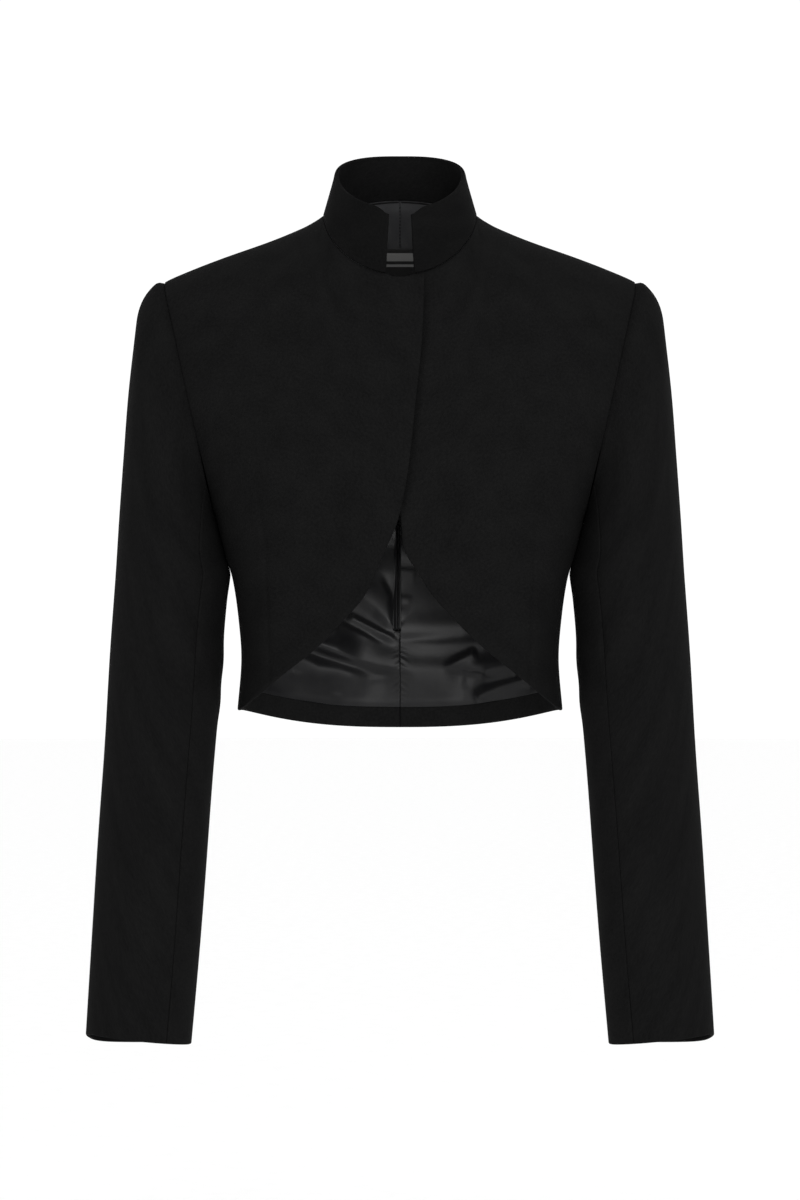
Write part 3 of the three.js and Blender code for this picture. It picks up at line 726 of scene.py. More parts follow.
class NodeMaker:
    """Makes a material's nodes and joins them."""

    def __init__(self, name: str) -> None:
        """Starts an empty material with an output.

        Args:
            name: The material's name.
        """
        self.material = bpy.data.materials.new(name)
        self.material.use_nodes = True
        self.tree = self.material.node_tree
        self.tree.nodes.clear()
        self.output = self.add("ShaderNodeOutputMaterial")

    def add(self, kind: str, inputs: dict | None = None, **settings: object) -> bpy.types.Node:
        """Adds a node.

        Args:
            kind: Blender's name for the node's type.
            inputs: A number, colour or socket for each of the node's named inputs.
            **settings: The node's own settings.

        Returns:
            The node.
        """
        node = self.tree.nodes.new(kind)
        for key, value in settings.items():
            setattr(node, key, value)
        for key, value in (inputs or {}).items():
            socket = node.inputs[key]
            if isinstance(value, bpy.types.NodeSocket):
                self.tree.links.new(value, socket)
            else:
                socket.default_value = value
        return node

    def math(self, operation: str, first: object, second: object = 0.0) -> object:
        """Adds a sum of two numbers and returns its socket."""
        return self.add("ShaderNodeMath", {0: first, 1: second}, operation=operation).outputs[0]

    def within(self, place: object, span: Span) -> object:
        """Returns the socket of 1 where a place lies within a span, and of 0 elsewhere."""
        low, high = self.math("GREATER_THAN", place, span[0]), self.math("LESS_THAN", place, span[1])
        return self.math("MULTIPLY", low, high)

    def plus_share(self, first: object, share: float, second: object) -> object:
        """Adds a share of the first number to the second and returns the socket."""
        return self.math("ADD", self.math("MULTIPLY", first, share), second)

    def times(self, colour: object, factor: object) -> object:
        """Multiplies a colour by another and returns the socket."""
        product = self.add("ShaderNodeVectorMath", {0: colour, 1: factor}, operation="MULTIPLY")
        return product.outputs["Vector"]

    def mark(self, name: str) -> object:
        """Returns the socket of one of the cloth's marks."""
        return self.add("ShaderNodeAttribute", attribute_name=name).outputs["Fac"]

    def wave(self, direction: str, wanted: dict) -> object:
        """Adds a pattern of bands that run in a direction and returns its value socket."""
        return self.add("ShaderNodeTexWave", wanted, bands_direction=direction).outputs["Fac"]

    def raised(self, height: object, strength: float, depth: float) -> object:
        """Adds a bump from a pattern and returns its normal socket."""
        wanted = {"Height": height, "Strength": strength, "Distance": depth}
        return self.add("ShaderNodeBump", wanted).outputs["Normal"]

    def noise(self, vector: object, scale: float, detail: float = 2.0, rough: float = 0.5) -> object:
        """Adds a noise pattern and returns its value socket."""
        wanted = {"Vector": vector, "Scale": scale, "Detail": detail, "Roughness": rough}
        return self.add("ShaderNodeTexNoise", wanted).outputs["Fac"]

    def uv(self) -> object:
        """Returns the socket of the cloth's own UV map, in metres."""
        return self.add("ShaderNodeUVMap", uv_map=CLOTH_UV).outputs["UV"]

    def shades(self, share: object, stops: Sequence[tuple[float, Colour]]) -> object:
        """Adds a colour ramp.

        Args:
            share: The socket that chooses the colour.
            stops: The places on the ramp, from 0 to 1, and their colours.

        Returns:
            The ramp's colour socket.
        """
        ramp = self.add("ShaderNodeValToRGB", {"Fac": share})
        elements = ramp.color_ramp.elements
        while len(elements) < len(stops):
            elements.new(0.5)
        for element, (place, colour) in zip(elements, stops):
            element.position = place
            element.color = (*colour, 1.0)
        return ramp.outputs["Color"]

    def finish(
        self, colour: object, roughness: object, gloss: object, others: dict | None = None
    ) -> bpy.types.Material:
        """Makes the surface and joins it to the output.

        Args:
            colour: The base colour.
            roughness: How rough the surface is.
            gloss: Its specular level.
            others: More of the surface's named inputs.

        Returns:
            The finished material.
        """
        wanted = {"Base Color": colour, "Roughness": roughness, "Specular IOR Level": gloss}
        surface = self.add("ShaderNodeBsdfPrincipled", {**wanted, **(others or {})})
        self.tree.links.new(surface.outputs[0], self.output.inputs["Surface"])
        return self.material


@dataclass(frozen=True)
class WoolFinish:
    """Fine black wool crepe: a dull, faintly clouded face with a pebbled weave."""

    name: str = "black_wool_crepe"
    shade: float = 0.0053
    cloud: float = 0.05
    fleck: float = 0.30
    roughness: float = 0.95
    gloss: float = 0.02
    sheen: float = 0.004
    sheen_roughness: float = 0.5
    # Painted light: the colour of the cloth's inside face is multiplied by this, to lighten it where the
    # inside lies in shade.
    inside_painted_light: float = 1.0
    cloud_scale: float = 34.0
    fleck_scale: float = 420.0
    grain_scale: float = 1500.0
    cloud_share: float = 0.4
    rib_scale: float = 210.0
    rib_height: float = 0.35
    pebble: float = 0.45
    pebble_depth: float = 0.0003

    def material(self) -> bpy.types.Material:
        """Makes the material.

        Returns:
            The material, whose colour on the cloth's inside face is multiplied by a factor of painted light.
        """
        maker = NodeMaker(self.name)
        uv = maker.uv()
        cloud = maker.noise(uv, self.cloud_scale, 3.0, 0.55)
        fleck = maker.noise(uv, self.fleck_scale, 2.0, 0.7)
        grain = maker.noise(uv, self.grain_scale, 2.0, 0.6)
        flecked = maker.math("MULTIPLY", fleck, 1 - self.cloud_share)
        share = maker.plus_share(cloud, self.cloud_share, flecked)
        tone, spread = self.shade, self.cloud + self.fleck
        dark, light = grey(tone * (1 - spread), 1.01), grey(tone * (1 + spread), 0.99)
        colour = maker.shades(share, ((0.30, dark), (0.50, grey(tone, 1.01)), (0.70, light)))
        # Painted light on the inside face: its colour is made paler by the factor above.
        painted_light = maker.shades(maker.mark("inside"), ((0.4, grey(1.0)), (0.6, grey(self.inside_painted_light))))
        ribs = maker.wave(
            "DIAGONAL",
            {
                "Vector": uv,
                "Scale": self.rib_scale,
                "Distortion": 6.0,
                "Detail": 2.0,
                "Detail Scale": 3.0,
            },
        )
        height = maker.plus_share(ribs, self.rib_height, grain)
        others = {
            "Sheen Weight": self.sheen,
            "Sheen Roughness": self.sheen_roughness,
            "Normal": maker.raised(height, self.pebble, self.pebble_depth),
        }
        return maker.finish(maker.times(colour, painted_light), self.roughness, self.gloss, others)


@dataclass(frozen=True)
class SatinFinish:
    """Dark grey lining satin: smooth, with a faint weft line, and duller where pressed or rubbed."""

    name: str = "dark_lining_satin"
    shade: float = 0.0095
    roughness: float = 0.36
    roughness_spread: float = 0.08
    hem_gloss: float = 0.15
    gloss: float = 0.40
    pressed: Span = (0.03, 0.13)
    # Painted light: between these two heights up the cloth, in metres, the satin's colour grows up to three
    # times paler towards the neck, as if lit through the neck opening.
    neck_painted_light: float = 3.0
    neck: Span = (0.36, 0.42)
    rub: float = 0.38
    cloud_scale: float = 60.0
    weft_scale: Place = (260.0, 3200.0, 1.0)
    weft_height: float = 0.2
    drawn_scale: float = 180.0
    relief: float = 0.25
    relief_depth: float = 0.0003

    def material(self) -> bpy.types.Material:
        """Makes the material.

        Returns:
            The material, which reads how far up the cloth it is and where the cloth is rubbed.
        """
        maker = NodeMaker(self.name)
        uv = maker.uv()
        cloud = maker.noise(uv, self.cloud_scale, 3.0)
        stretched = maker.add("ShaderNodeMapping", {"Vector": uv, "Scale": self.weft_scale}).outputs[0]
        weft = maker.noise(stretched, 1.0, 1.0)
        tone = self.shade
        dark, light = (tone * 0.85, tone * 0.85, tone * 0.92), (tone * 1.15, tone * 1.15, tone * 1.2)
        colour = maker.shades(cloud, ((0.35, dark), (0.65, light)))
        up = maker.add("ShaderNodeSeparateXYZ", {"Vector": uv}).outputs["Y"]
        shine = maker.shades(up, tuple(zip(self.pressed, (grey(self.hem_gloss), grey(self.gloss)))))
        dulled = maker.math("MULTIPLY", maker.mark("rubbed"), self.rub)
        shine = maker.math("MULTIPLY", shine, maker.math("SUBTRACT", 1.0, dulled))
        # Painted light near the neck: the colour is multiplied by a ramp that rises up the cloth.
        painted_light = maker.shades(up, tuple(zip(self.neck, (grey(1.0), grey(self.neck_painted_light)))))
        rough = maker.plus_share(weft, self.roughness_spread, self.roughness - self.roughness_spread / 2)
        drawn = maker.noise(uv, self.drawn_scale, 2.0)
        height = maker.plus_share(weft, self.weft_height, drawn)
        others = {"Normal": maker.raised(height, self.relief, self.relief_depth)}
        return maker.finish(maker.times(colour, painted_light), rough, shine, others)


@dataclass(frozen=True)
class LabelFinish:
    """A black woven label with two plain light bars across its middle."""

    name: str = "woven_label"
    ground: float = 0.006
    light: float = 0.21
    bars: tuple[Span, ...] = ((0.0178, 0.0249), (0.0128, 0.0150))
    ends: Span = (0.0105, 0.0475)
    thread_scale: float = 480.0
    thread_depth: float = 0.35
    roughness: float = 0.6
    gloss: float = 0.3
    relief: float = 0.3
    relief_depth: float = 0.0002

    def material(self) -> bpy.types.Material:
        """Makes the material.

        Returns:
            The material, whose bars lie at measured places on the label's UV map.
        """
        maker = NodeMaker(self.name)
        uv = maker.uv()
        parts = maker.add("ShaderNodeSeparateXYZ", {"Vector": uv})
        lit = 0.0
        for bar in self.bars:
            lit = maker.math("ADD", lit, maker.within(parts.outputs["Y"], bar))
        inside = maker.within(parts.outputs["X"], self.ends)
        thread = maker.wave("X", {"Vector": uv, "Scale": self.thread_scale, "Distortion": 0.6})
        woven = maker.plus_share(thread, self.thread_depth, 1 - self.thread_depth)
        share = maker.math("MULTIPLY", maker.math("MULTIPLY", lit, inside), woven)
        colour = maker.shades(share, ((0.0, grey(self.ground)), (1.0, grey(self.light, 0.98))))
        others = {"Normal": maker.raised(thread, self.relief, self.relief_depth)}
        return maker.finish(colour, self.roughness, self.gloss, others)




@dataclass(frozen=True)
class ThreadFinish:
    """Sewing thread with a twisted surface."""

    name: str = "black_thread"
    shade: float = 0.004
    roughness: float = 0.6
    gloss: float = 0.2
    twist_scale: float = 900.0
    relief: float = 0.4
    relief_depth: float = 0.0002

    def material(self) -> bpy.types.Material:
        """Makes the material.

        Returns:
            The material, twisted along the object's own diagonal.
        """
        maker = NodeMaker(self.name)
        place = maker.add("ShaderNodeTexCoord").outputs["Object"]
        wanted = {"Vector": place, "Scale": self.twist_scale, "Distortion": 0.5}
        twist = maker.wave("DIAGONAL", wanted)
        dark, light = grey(self.shade * 0.7), grey(self.shade * 1.4)
        colour = maker.shades(twist, ((0.2, dark), (0.8, light)))
        others = {"Normal": maker.raised(twist, self.relief, self.relief_depth)}
        return maker.finish(colour, self.roughness, self.gloss, others)


@dataclass
class Wardrobe:
    """The finishes that the pieces share."""

    wool: bpy.types.Material
    collar_wool: bpy.types.Material
    backing_wool: bpy.types.Material
    satin: bpy.types.Material
    label: bpy.types.Material
    back_wool: bpy.types.Material

    @classmethod
    def make(cls) -> "Wardrobe":
        """Makes each finish once."""
        return cls(
            wool=WoolFinish().material(),
            # Painted shade: the collar's face is a darker copy of the same wool.
            collar_wool=WoolFinish(name="black_wool_crepe_collar", shade=0.0040).material(),
            # Painted light: the collar's backing inside the neck is a paler copy of the same wool.
            backing_wool=WoolFinish(name="black_wool_crepe_backing", shade=0.0056).material(),
            satin=SatinFinish().material(),
            label=LabelFinish().material(),
            # Painted light: the backs' inside face, with the turned-up hem, is made 1.4 times paler.
            back_wool=WoolFinish(name="black_wool_crepe_backs", inside_painted_light=1.4).material(),
        )


def place_piece(
    piece: bpy.types.Object,
    material: bpy.types.Material,
    stands_for: Sequence[str] = (),
) -> None:
    """Dresses a piece, fixes it to the jacket's body and hides the CAD nodes that it is shown for.

    Args:
        piece: The new object.
        material: Its finish.
        stands_for: The CAD nodes that it is shown for.
    """
    piece.data.materials.append(material)
    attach(piece, "root")
    if stands_for:
        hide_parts(*stands_for)
    log.info("%s: %d faces", piece.name, len(piece.data.polygons))


@dataclass
class Fronts:
    """The two fronts, from the swept front edge to the armhole and the side seam."""

    form: TrunkForm
    cut: Cut = Cut(0.317, 0.505, 0.0783)
    wall: float = 2.2
    lap_lift: float = 3.6
    side_share: float = 8 / 22
    neck_share: float = 6 / 15
    steps_across: Steps = Steps(240.0, 0.4, 2.4)
    steps_up: Steps = Steps(450.0, 0.4, 2.6)
    flat_edge: float = 5.0
    dart: tuple[Span, ...] = (
        (119.6, -222.0),
        (114.7, -255.5),
        (111.4, -280.0),
        (110.6, -321.0),
        (108.1, -396.0),
    )
    dart_groove: Swell = Swell(-0.8, 0.0, 1.5)
    dart_groove_start: Span = (-222.0, -232.0)
    dart_sides: Swell = Swell(0.35, 6.0, 4.0)
    dart_sides_start: Span = (-222.0, -250.0)
    edge_roll: Swell = Swell(0.9, 4.5, 4.0)
    edge_roll_start: Span = (6.0, 30.0)
    lap_press: Swell = Swell(-2.0, 0.0, 3.0)
    lap_press_foot: Span = (-256.0, -244.0)
    lap_press_head: Span = (-70.0, -58.0)
    creases: tuple[Crease, ...] = (
        Crease(((160, -236), (132, -252), (118, -262)), 0.9, 6, 8, (10, 14)),
        Crease(((163, -214), (140, -232), (122, -240)), -0.6, 8, 6, (10, 14)),
        Crease(((134, -300), (112, -306), (84, -300)), 0.6, 10, 10, (12, 16)),
        Crease(((132, -352), (104, -346), (84, -340)), 0.6, 9, 12, (10, 14)),
        Crease(((150, -70), (110, -82), (70, -84)), 0.5, 18, 22, (24, 24)),
    )

    def build(self, wardrobe: Wardrobe) -> None:
        """Makes and dresses both fronts."""
        for side in (Side.RIGHT, Side.LEFT):
            piece, node, back = self.panel(side).build(), f"front_{side.word}", f"back_{side.word}"
            place_piece(piece, wardrobe.wool, [node])

    def panel(self, side: Side) -> Wall:
        """Lays out one front.

        Args:
            side: The wearer's side. The right front laps over the left.

        Returns:
            The wall of cloth.
        """
        lift = self.lap_lift if side is Side.RIGHT else 0.0
        edge = FRONT_EDGE if side is Side.RIGHT else LEFT_FRONT_EDGE
        across, up = self.steps_across.shares(), self.steps_up.shares()
        places = self.form.patch(Face.FRONT, across, up, self.side_share, self.neck_share, edge)
        points = self.form.point(Face.FRONT, places, lift)
        normals = self.form.normal(Face.FRONT, places, lift)
        x, z = points[..., 0], points[..., 2]
        wall = Wall(f"front_{side.word}_wool", on_side(points, side), on_side(normals, side), self.wall)
        to_dart = distance_to(self.dart, x, z)
        relief = self.dart_groove.at(to_dart) * ease(z, *self.dart_groove_start)
        relief += self.dart_sides.at(to_dart) * ease(z, *self.dart_sides_start)
        relief += creased(self.creases, x, z)
        if side is Side.RIGHT:
            relief += self.edge_roll.at(wall.across) * ease(wall.up, *self.edge_roll_start)
        else:
            to_lap = distance_to([(-out, height) for out, height in FRONT_EDGE], x, z)
            lapped = ease(z, *self.lap_press_foot) * (1 - ease(z, *self.lap_press_head))
            relief += self.lap_press.at(to_lap) * lapped
        wall.relief = relief * ease(wall.edge_distance(), 0, self.flat_edge)
        return wall


@dataclass
class Backs:
    """The two backs, seamed at the middle, with the hem turned up inside."""

    form: TrunkForm
    cut: Cut = Cut(0.241, 0.471, 0.0867)
    wall: float = 2.2
    hem_wall: float = 3.5
    turn_up: float = 20.0
    turn_up_step: Span = (-0.3, 0.5)
    side_share: float = 8 / 22
    neck_share: float = 5 / 15
    steps_across: Steps = Steps(225.0, 0.4, 2.6)
    fine_up: float = 0.4
    coarse_up: float = 2.8
    flat_edge: float = 8.0
    flat_hem: float = 30.0
    creases: tuple[Crease, ...] = (
        Crease(((150, -215), (120, -238), (96, -250)), 0.9, 8, 10, (12, 18)),
        Crease(((128, -312), (84, -306), (40, -312)), 0.8, 9, 12, (14, 20)),
        Crease(((130, -352), (92, -346), (50, -350)), 0.7, 8, 11, (12, 20)),
        Crease(((150, -90), (100, -108), (50, -104)), 0.7, 20, 24, (26, 30)),
        Crease(((168, -150), (150, -190), (140, -226)), 0.8, 9, 9, (20, 20)),
    )

    @property
    def rise(self) -> float:
        """The back's height at the middle."""
        return self.form.back_neck - float(self.form.hem_at(0.0))

    def build(self, wardrobe: Wardrobe) -> None:
        """Makes and dresses both backs."""
        for side in (Side.RIGHT, Side.LEFT):
            piece, node, front = self.panel(side).build(), f"back_{side.word}", f"front_{side.word}"
            place_piece(piece, wardrobe.back_wool, [node])

    def panel(self, side: Side) -> Wall:
        """Lays out one back.

        Args:
            side: The wearer's side.

        Returns:
            The wall of cloth, thicker where the hem is turned up inside.
        """
        turned = self.turn_up / self.rise
        across = self.steps_across.shares() ** SPREAD
        up = Steps(self.rise, self.fine_up, self.coarse_up, (0, turned, 1)).shares()
        places = self.form.patch(Face.BACK, across, up, self.side_share, self.neck_share)
        points = self.form.point(Face.BACK, places)
        normals = self.form.normal(Face.BACK, places)
        x, z = points[..., 0], points[..., 2]
        folded = 1 - ease(up, *(turned + step / self.rise for step in self.turn_up_step))
        thickness = np.broadcast_to(mix(self.wall, self.hem_wall, folded)[:, None], x.shape)
        wall = Wall(f"back_{side.word}_wool", on_side(points, side), on_side(normals, side), thickness)
        relief = creased(self.creases, x, z)
        calm = ease(wall.edge_distance(), 0, self.flat_edge)
        wall.relief = relief * calm * ease(z, HEM_HEIGHT, HEM_HEIGHT + self.flat_hem)
        return wall


@dataclass
class Sleeves:
    """Both sleeves, each of a top and an under sleeve that seam at the front and back of the arm."""

    form: TrunkForm
    top_cut: Cut = Cut(0.380, 0.650, 0.1192)
    under_cut: Cut = Cut(0.173, 0.521, 0.0619)
    wall: float = 2.2
    hem_wall: float = 3.4
    turn_up: float = 38.0
    turn_up_step: float = 1.0
    squareness: float = 2.15
    hem_height: float = -690.5
    hem_outer_up: float = 3.4
    hem_front_up: float = 6.5
    head: float = 32.0
    underarm_ease: float = 90.0
    seam_share: float = 0.155
    seam_done: float = 0.14
    steps: int = 14
    front_steps: int = 11
    back_steps: int = 9
    step_width: float = 12.0
    fine_around: float = 0.4
    coarse_around: float = 3.2
    steps_down: Steps = Steps(560.0, 0.5, 3.6)
    probe_turn: float = 0.01
    probe_fall: float = 0.0008
    probe_start: float = 0.0012
    head_lean: float = 12.0
    head_done: float = 0.1
    seam_inward: float = 0.95
    seam_done_by: float = 6.0
    welt: Swell = Swell(0.9, 6.0, 5.0)
    welt_over: Span = (-0.4, 0.4)
    drift: Swell = Swell(0.35, -430.0, 120.0)
    drift_wave: Span = (31.0, 2.2)
    # Each bend at the elbow, how far it waves round the arm and where it starts inside it.
    bends: tuple[tuple[Swell, float, float], ...] = (
        (Swell(1.1, -372.0, 14.0), -14.0, -0.2),
        (Swell(0.9, -410.0, 12.0), 10.0, -0.1),
    )
    bend_full: float = 0.8
    outer: Curve = field(default_factory=lambda: Curve(SLEEVE, 0, 1))
    inner: Curve = field(default_factory=lambda: Curve(SLEEVE, 0, 2))
    depth: Curve = field(default_factory=lambda: Curve(SLEEVE, 0, 3))
    forward: Curve = field(default_factory=lambda: Curve(SLEEVE, 0, 4))

    def armhole_places(self, angle: Array) -> tuple[Array, Array]:
        """Finds the armhole seam on the trunk.

        Args:
            angle: Angles from the shoulder tip over the front to the underarm and on.

        Returns:
            The trunk's points and its outward normals.
        """
        z = self.form.armhole_height(angle)
        x = self.form.armhole(z)
        points = np.zeros((*np.shape(angle), 3))
        normals = np.zeros_like(points)
        for face, here in ((Face.FRONT, np.sin(angle) >= 0), (Face.BACK, np.sin(angle) < 0)):
            places = self.form.place(face, x, z)
            points = np.where(here[..., None], self.form.point(face, places), points)
            normals = np.where(here[..., None], self.form.normal(face, places), normals)
        return points, normals

    def ring(self, angle: Array, z: Array, down: Array) -> Array:
        """Finds the sleeve's section, whose points are turned to the front lower down.

        Args:
            angle: Angles from the outer side over the front.
            z: The section's height.
            down: How far down the sleeve, from 0 to 1.

        Returns:
            The points.
        """
        turned = angle - self.seam_share * np.pi * np.sin(angle) * ease(down, 0, self.seam_done)
        outer, inner = self.outer(z), self.inner(z)
        across = power(np.cos(turned), 2 / self.squareness)
        forth = power(np.sin(turned), 2 / self.squareness)
        x = (outer + inner) / 2 + (outer - inner) / 2 * across
        return np.stack([x, -self.forward(z) - self.depth(z) * forth, z], axis=-1)

    def surface(self, angle: Array, down: Array, seam: Array) -> Array:
        """Finds points of the sleeve's outer surface.

        Args:
            angle: Angles from the shoulder tip over the front.
            down: How far down the sleeve, from 0 to 1.
            seam: The armhole's points at the same angles.

        Returns:
            The points.
        """
        tilt = self.hem_outer_up * np.cos(angle) + self.hem_front_up * np.sin(angle)
        z = mix(seam[..., 2], self.hem_height + tilt, down)
        head = mix(self.head, self.underarm_ease, (1 - np.cos(angle)) / 2)
        out = np.sqrt(1 - (1 - np.minimum((seam[..., 2] - z) / head, 1)) ** 2)
        start = seam - self.ring(angle, seam[..., 2], np.zeros_like(down))
        return self.ring(angle, z, down) + start * (1 - out)[..., None]

    def build(self, wardrobe: Wardrobe) -> None:
        """Makes and dresses the four sleeve pieces.

        Args:
            wardrobe: The finishes.
        """
        last_step = 2 * self.steps - self.back_steps
        spans = {
            "top_sleeve": (-self.back_steps, self.front_steps, self.top_cut),
            "under_sleeve": (self.front_steps, last_step, self.under_cut),
        }
        for side in (Side.RIGHT, Side.LEFT):
            for kind, (first, last, cut) in spans.items():
                piece, back = self.panel(side, kind, first, last).build(), f"back_{side.word}"
                place_piece(piece, wardrobe.wool, [f"{kind}_{side.word}"])

    def panel(self, side: Side, kind: str, first: int, last: int) -> Wall:
        """Lays out one sleeve piece between two steps round the armhole.

        Args:
            side: The wearer's side.
            kind: The start of the piece's name.
            first: The step at its first edge, counted from the shoulder tip over the front.
            last: The step at its last edge.

        Returns:
            The wall of cloth, thicker where the cuff is turned in.
        """
        step = np.pi / self.steps
        width = (last - first) * self.step_width
        shares = Steps(width, self.fine_around, self.coarse_around).shares()
        around = mix(first * step, last * step, shares)
        angle, down = np.meshgrid(around, self.steps_down.shares())
        grid = (*angle.shape, 3)
        seam, seam_normal = (np.broadcast_to(row[None], grid) for row in self.armhole_places(around))
        points = self.surface(angle, down, seam)
        normals = self.normals(angle, down, seam, points)
        into_sleeve = np.stack([-np.cos(angle), np.sin(angle), 0 * angle], axis=-1)
        share = ease(-np.cos(angle), 0, self.seam_inward)[..., None]
        seam_out = -unit(mix(-seam_normal, into_sleeve, share))
        wall = Wall(f"{kind}_{side.word}_wool", on_side(points, side), on_side(normals, side), self.wall)
        normals = unit(mix(seam_out, normals, ease(wall.up, 0, self.seam_done_by)[..., None]))
        wall.outward = on_side(normals, side)
        from_hem = wall.up[-1:] - wall.up
        single = ease(from_hem, self.turn_up - self.turn_up_step, self.turn_up + self.turn_up_step)
        wall.thickness = mix(self.wall, self.hem_wall, 1 - single)
        calm = ease(wall.edge_distance(), 0, self.seam_done_by)
        wall.relief = self.relief(angle, points[..., 2], wall.up) * calm
        return wall

    def normals(self, angle: Array, down: Array, seam: Array, points: Array) -> Array:
        """Finds which way the sleeve's surface faces.

        Args:
            angle: Angles from the shoulder tip over the front.
            down: How far down the sleeve, from 0 to 1.
            seam: The armhole's points at the same angles.
            points: The surface's points.

        Returns:
            The outward unit normals.
        """
        near = np.maximum(down, self.probe_start)
        turned = (angle + self.probe_turn, angle - self.probe_turn)
        ahead, behind = (self.surface(each, near, self.seam_at(each)) for each in turned)
        fallen = (near + self.probe_fall, near - self.probe_fall)
        lower, higher = (self.surface(angle, each, seam) for each in fallen)
        normals = unit(np.cross(ahead - behind, lower - higher))
        z = points[..., 2]
        middle = np.stack([(self.outer(z) + self.inner(z)) / 2, -self.forward(z), z], axis=-1)
        lean = self.head_lean * (1 - ease(down, 0, self.head_done))
        outward = points - middle + np.stack([0 * down, 0 * down, lean], axis=-1)
        return normals * np.where((normals * outward).sum(-1, keepdims=True) < 0, -1, 1)

    def seam_at(self, angle: Array) -> Array:
        """Returns the armhole's points at a grid of angles whose columns share one angle."""
        points, _ = self.armhole_places(angle[0])
        return np.broadcast_to(points[None], (*angle.shape, 3))

    def relief(self, angle: Array, z: Array, from_seam: Array) -> Array:
        """Finds how far the cloth stands off at the sleeve head's welt and the soft bends.

        Args:
            angle: Angles from the shoulder tip over the front.
            z: Heights.
            from_seam: How far down from the armhole seam, in millimetres.

        Returns:
            The height in millimetres.
        """
        length, turn = self.drift_wave
        relief = self.welt.at(from_seam) * ease(np.cos(angle), *self.welt_over)
        relief = relief + self.drift.at(z) * np.sin(z / length + turn * angle)
        for bend, wave, start in self.bends:
            inside = ease(-np.cos(angle), start, self.bend_full)
            relief = relief + bend.at(z - wave * np.sin(angle * 2)) * inside
        return relief


@dataclass
class Collar:
    """The stand collar: an outer face, and a backing that shows inside the neck."""

    form: TrunkForm
    cut: Cut = Cut(0.456, 0.0535, 0.0165)
    steps_around: Steps = Steps(405.0, 0.3, 1.8)
    steps_up: Steps = Steps(52.0, 0.25, 1.6)
    face_wall: float = 1.7
    backing_wall: float = 1.3
    between: float = 0.1
    lap_lift: float = 3.6
    top_half_width: float = 55.0
    top_side: float = 4.0
    top_front: float = -70.0
    top_back: float = 46.0
    height_side: float = 42.5
    height_front: float = 4.0
    height_back: float = 61.5
    corner_drop: float = 5.0
    corner_start: float = 0.8
    end_base: float = 12.0
    end_top: float = 9.5
    base_raise: float = 0.15
    front_round: float = 1.08
    back_round: float = 1.25
    probe_around: float = 0.012
    probe_up: float = 0.02
    probed_around: float = 0.985
    probed_up: Span = (0.03, 0.97)
    back_lean: float = 8.0
    edge_taper: Span = (0.5, 0.5)
    top_roll: Swell = Swell(0.25, 3.0, 2.2)

    def surface(self, around: Array, up: Array) -> Array:
        """Finds points of the collar.

        Args:
            around: From -1 at the right end, past 0 at the middle of the back, to 1.
            up: From 0 at the neckline to 1 at the top edge.

        Returns:
            The points.
        """
        side = np.where(around < 0, -1.0, 1.0)
        turn = np.abs(around) * np.pi
        front = np.maximum(turn / (np.pi / 2) - 1, 0)
        at_front = turn > np.pi / 2
        lift = np.where((side < 0) & at_front, self.lap_lift, 0.0)

        def angle_for(end: float, half_width: float) -> Array:
            """Returns the angles along a ring that stops in front at a distance from the middle."""
            return np.where(at_front, mix(np.pi / 2, math.asin(end / half_width), front), turn)

        base_angle = angle_for(self.end_base, self.form.neck_half_width)
        base = np.zeros((*np.shape(around), 3))
        for face, here in ((Face.FRONT, at_front), (Face.BACK, ~at_front)):
            x, z = np.moveaxis(self.form.neckline(face, base_angle), -1, 0)
            place = self.form.place(face, x, z)
            point = self.form.point(face, place)
            point[..., 1] -= lift * (1 - ease(x, self.form.lap_full, self.form.lap_end))
            base = np.where(here[..., None], point, base)
        base[..., 2] += self.base_raise
        top_angle = angle_for(self.end_top, self.top_half_width)
        middle = np.cos(top_angle)
        x = self.top_half_width * np.sin(top_angle)
        lap = lift * (1 - ease(x, self.form.lap_full, self.form.lap_end))
        y_front = mix(self.top_side, self.top_front, middle) - lap
        middle_up = np.maximum(middle, 0)
        z_front = mix(self.height_side, self.height_front, middle_up**self.front_round)
        z_front = z_front - self.corner_drop * ease(front, self.corner_start, 1) ** 2
        y_back = mix(self.top_side, self.top_back, middle)
        z_back = mix(self.height_side, self.height_back, 1 - (1 - middle_up) ** self.back_round)
        y, z = np.where(at_front, y_front, y_back), np.where(at_front, z_front, z_back)
        top = np.stack([x, y, z], axis=-1)
        point = mix(base, top, up[..., None])
        point[..., 0] *= side
        return point

    def layer(self, name: str, depth: float, wall: float) -> Wall:
        """Lays out one layer of the collar.

        Args:
            name: The piece's name.
            depth: How far the layer's face lies under the collar's surface.
            wall: How thick the layer is.

        Returns:
            The wall of cloth.
        """
        rows = self.steps_up.shares()
        around, up = np.meshgrid(mix(-1.0, 1.0, self.steps_around.shares()), rows)
        points = self.surface(around, up)
        held = np.clip(around, -self.probed_around, self.probed_around)
        level = np.clip(up, *self.probed_up)
        sides = (self.surface(held + step, level) for step in (self.probe_around, -self.probe_around))
        ends = (self.surface(held, level + step) for step in (self.probe_up, -self.probe_up))
        along, rise = np.subtract(*sides), np.subtract(*ends)
        normals = unit(np.cross(along, rise))
        outward = points * [1, 1, 0] + [0, self.back_lean, 0]
        normals *= np.where((normals * outward).sum(-1, keepdims=True) < 0, -1, 1)
        share, least = self.edge_taper
        made = Wall(name, points - normals * depth, normals, wall, edge_round=share * wall + least)
        made.relief = self.top_roll.at(made.up[-1:] - made.up)
        return made

    def build(self, wardrobe: Wardrobe) -> None:
        """Makes and dresses both layers.

        Args:
            wardrobe: The finishes.
        """
        face = self.layer("collar_face_wool", 0.0, self.face_wall)
        backing = self.layer("collar_backing_wool", self.face_wall + self.between, self.backing_wall)
        outer, inner = wardrobe.collar_wool, wardrobe.backing_wool
        for wall, finish, node in ((face, outer, "collar_face"), (backing, inner, "collar_backing")):
            place_piece(wall.build(), finish, [node])


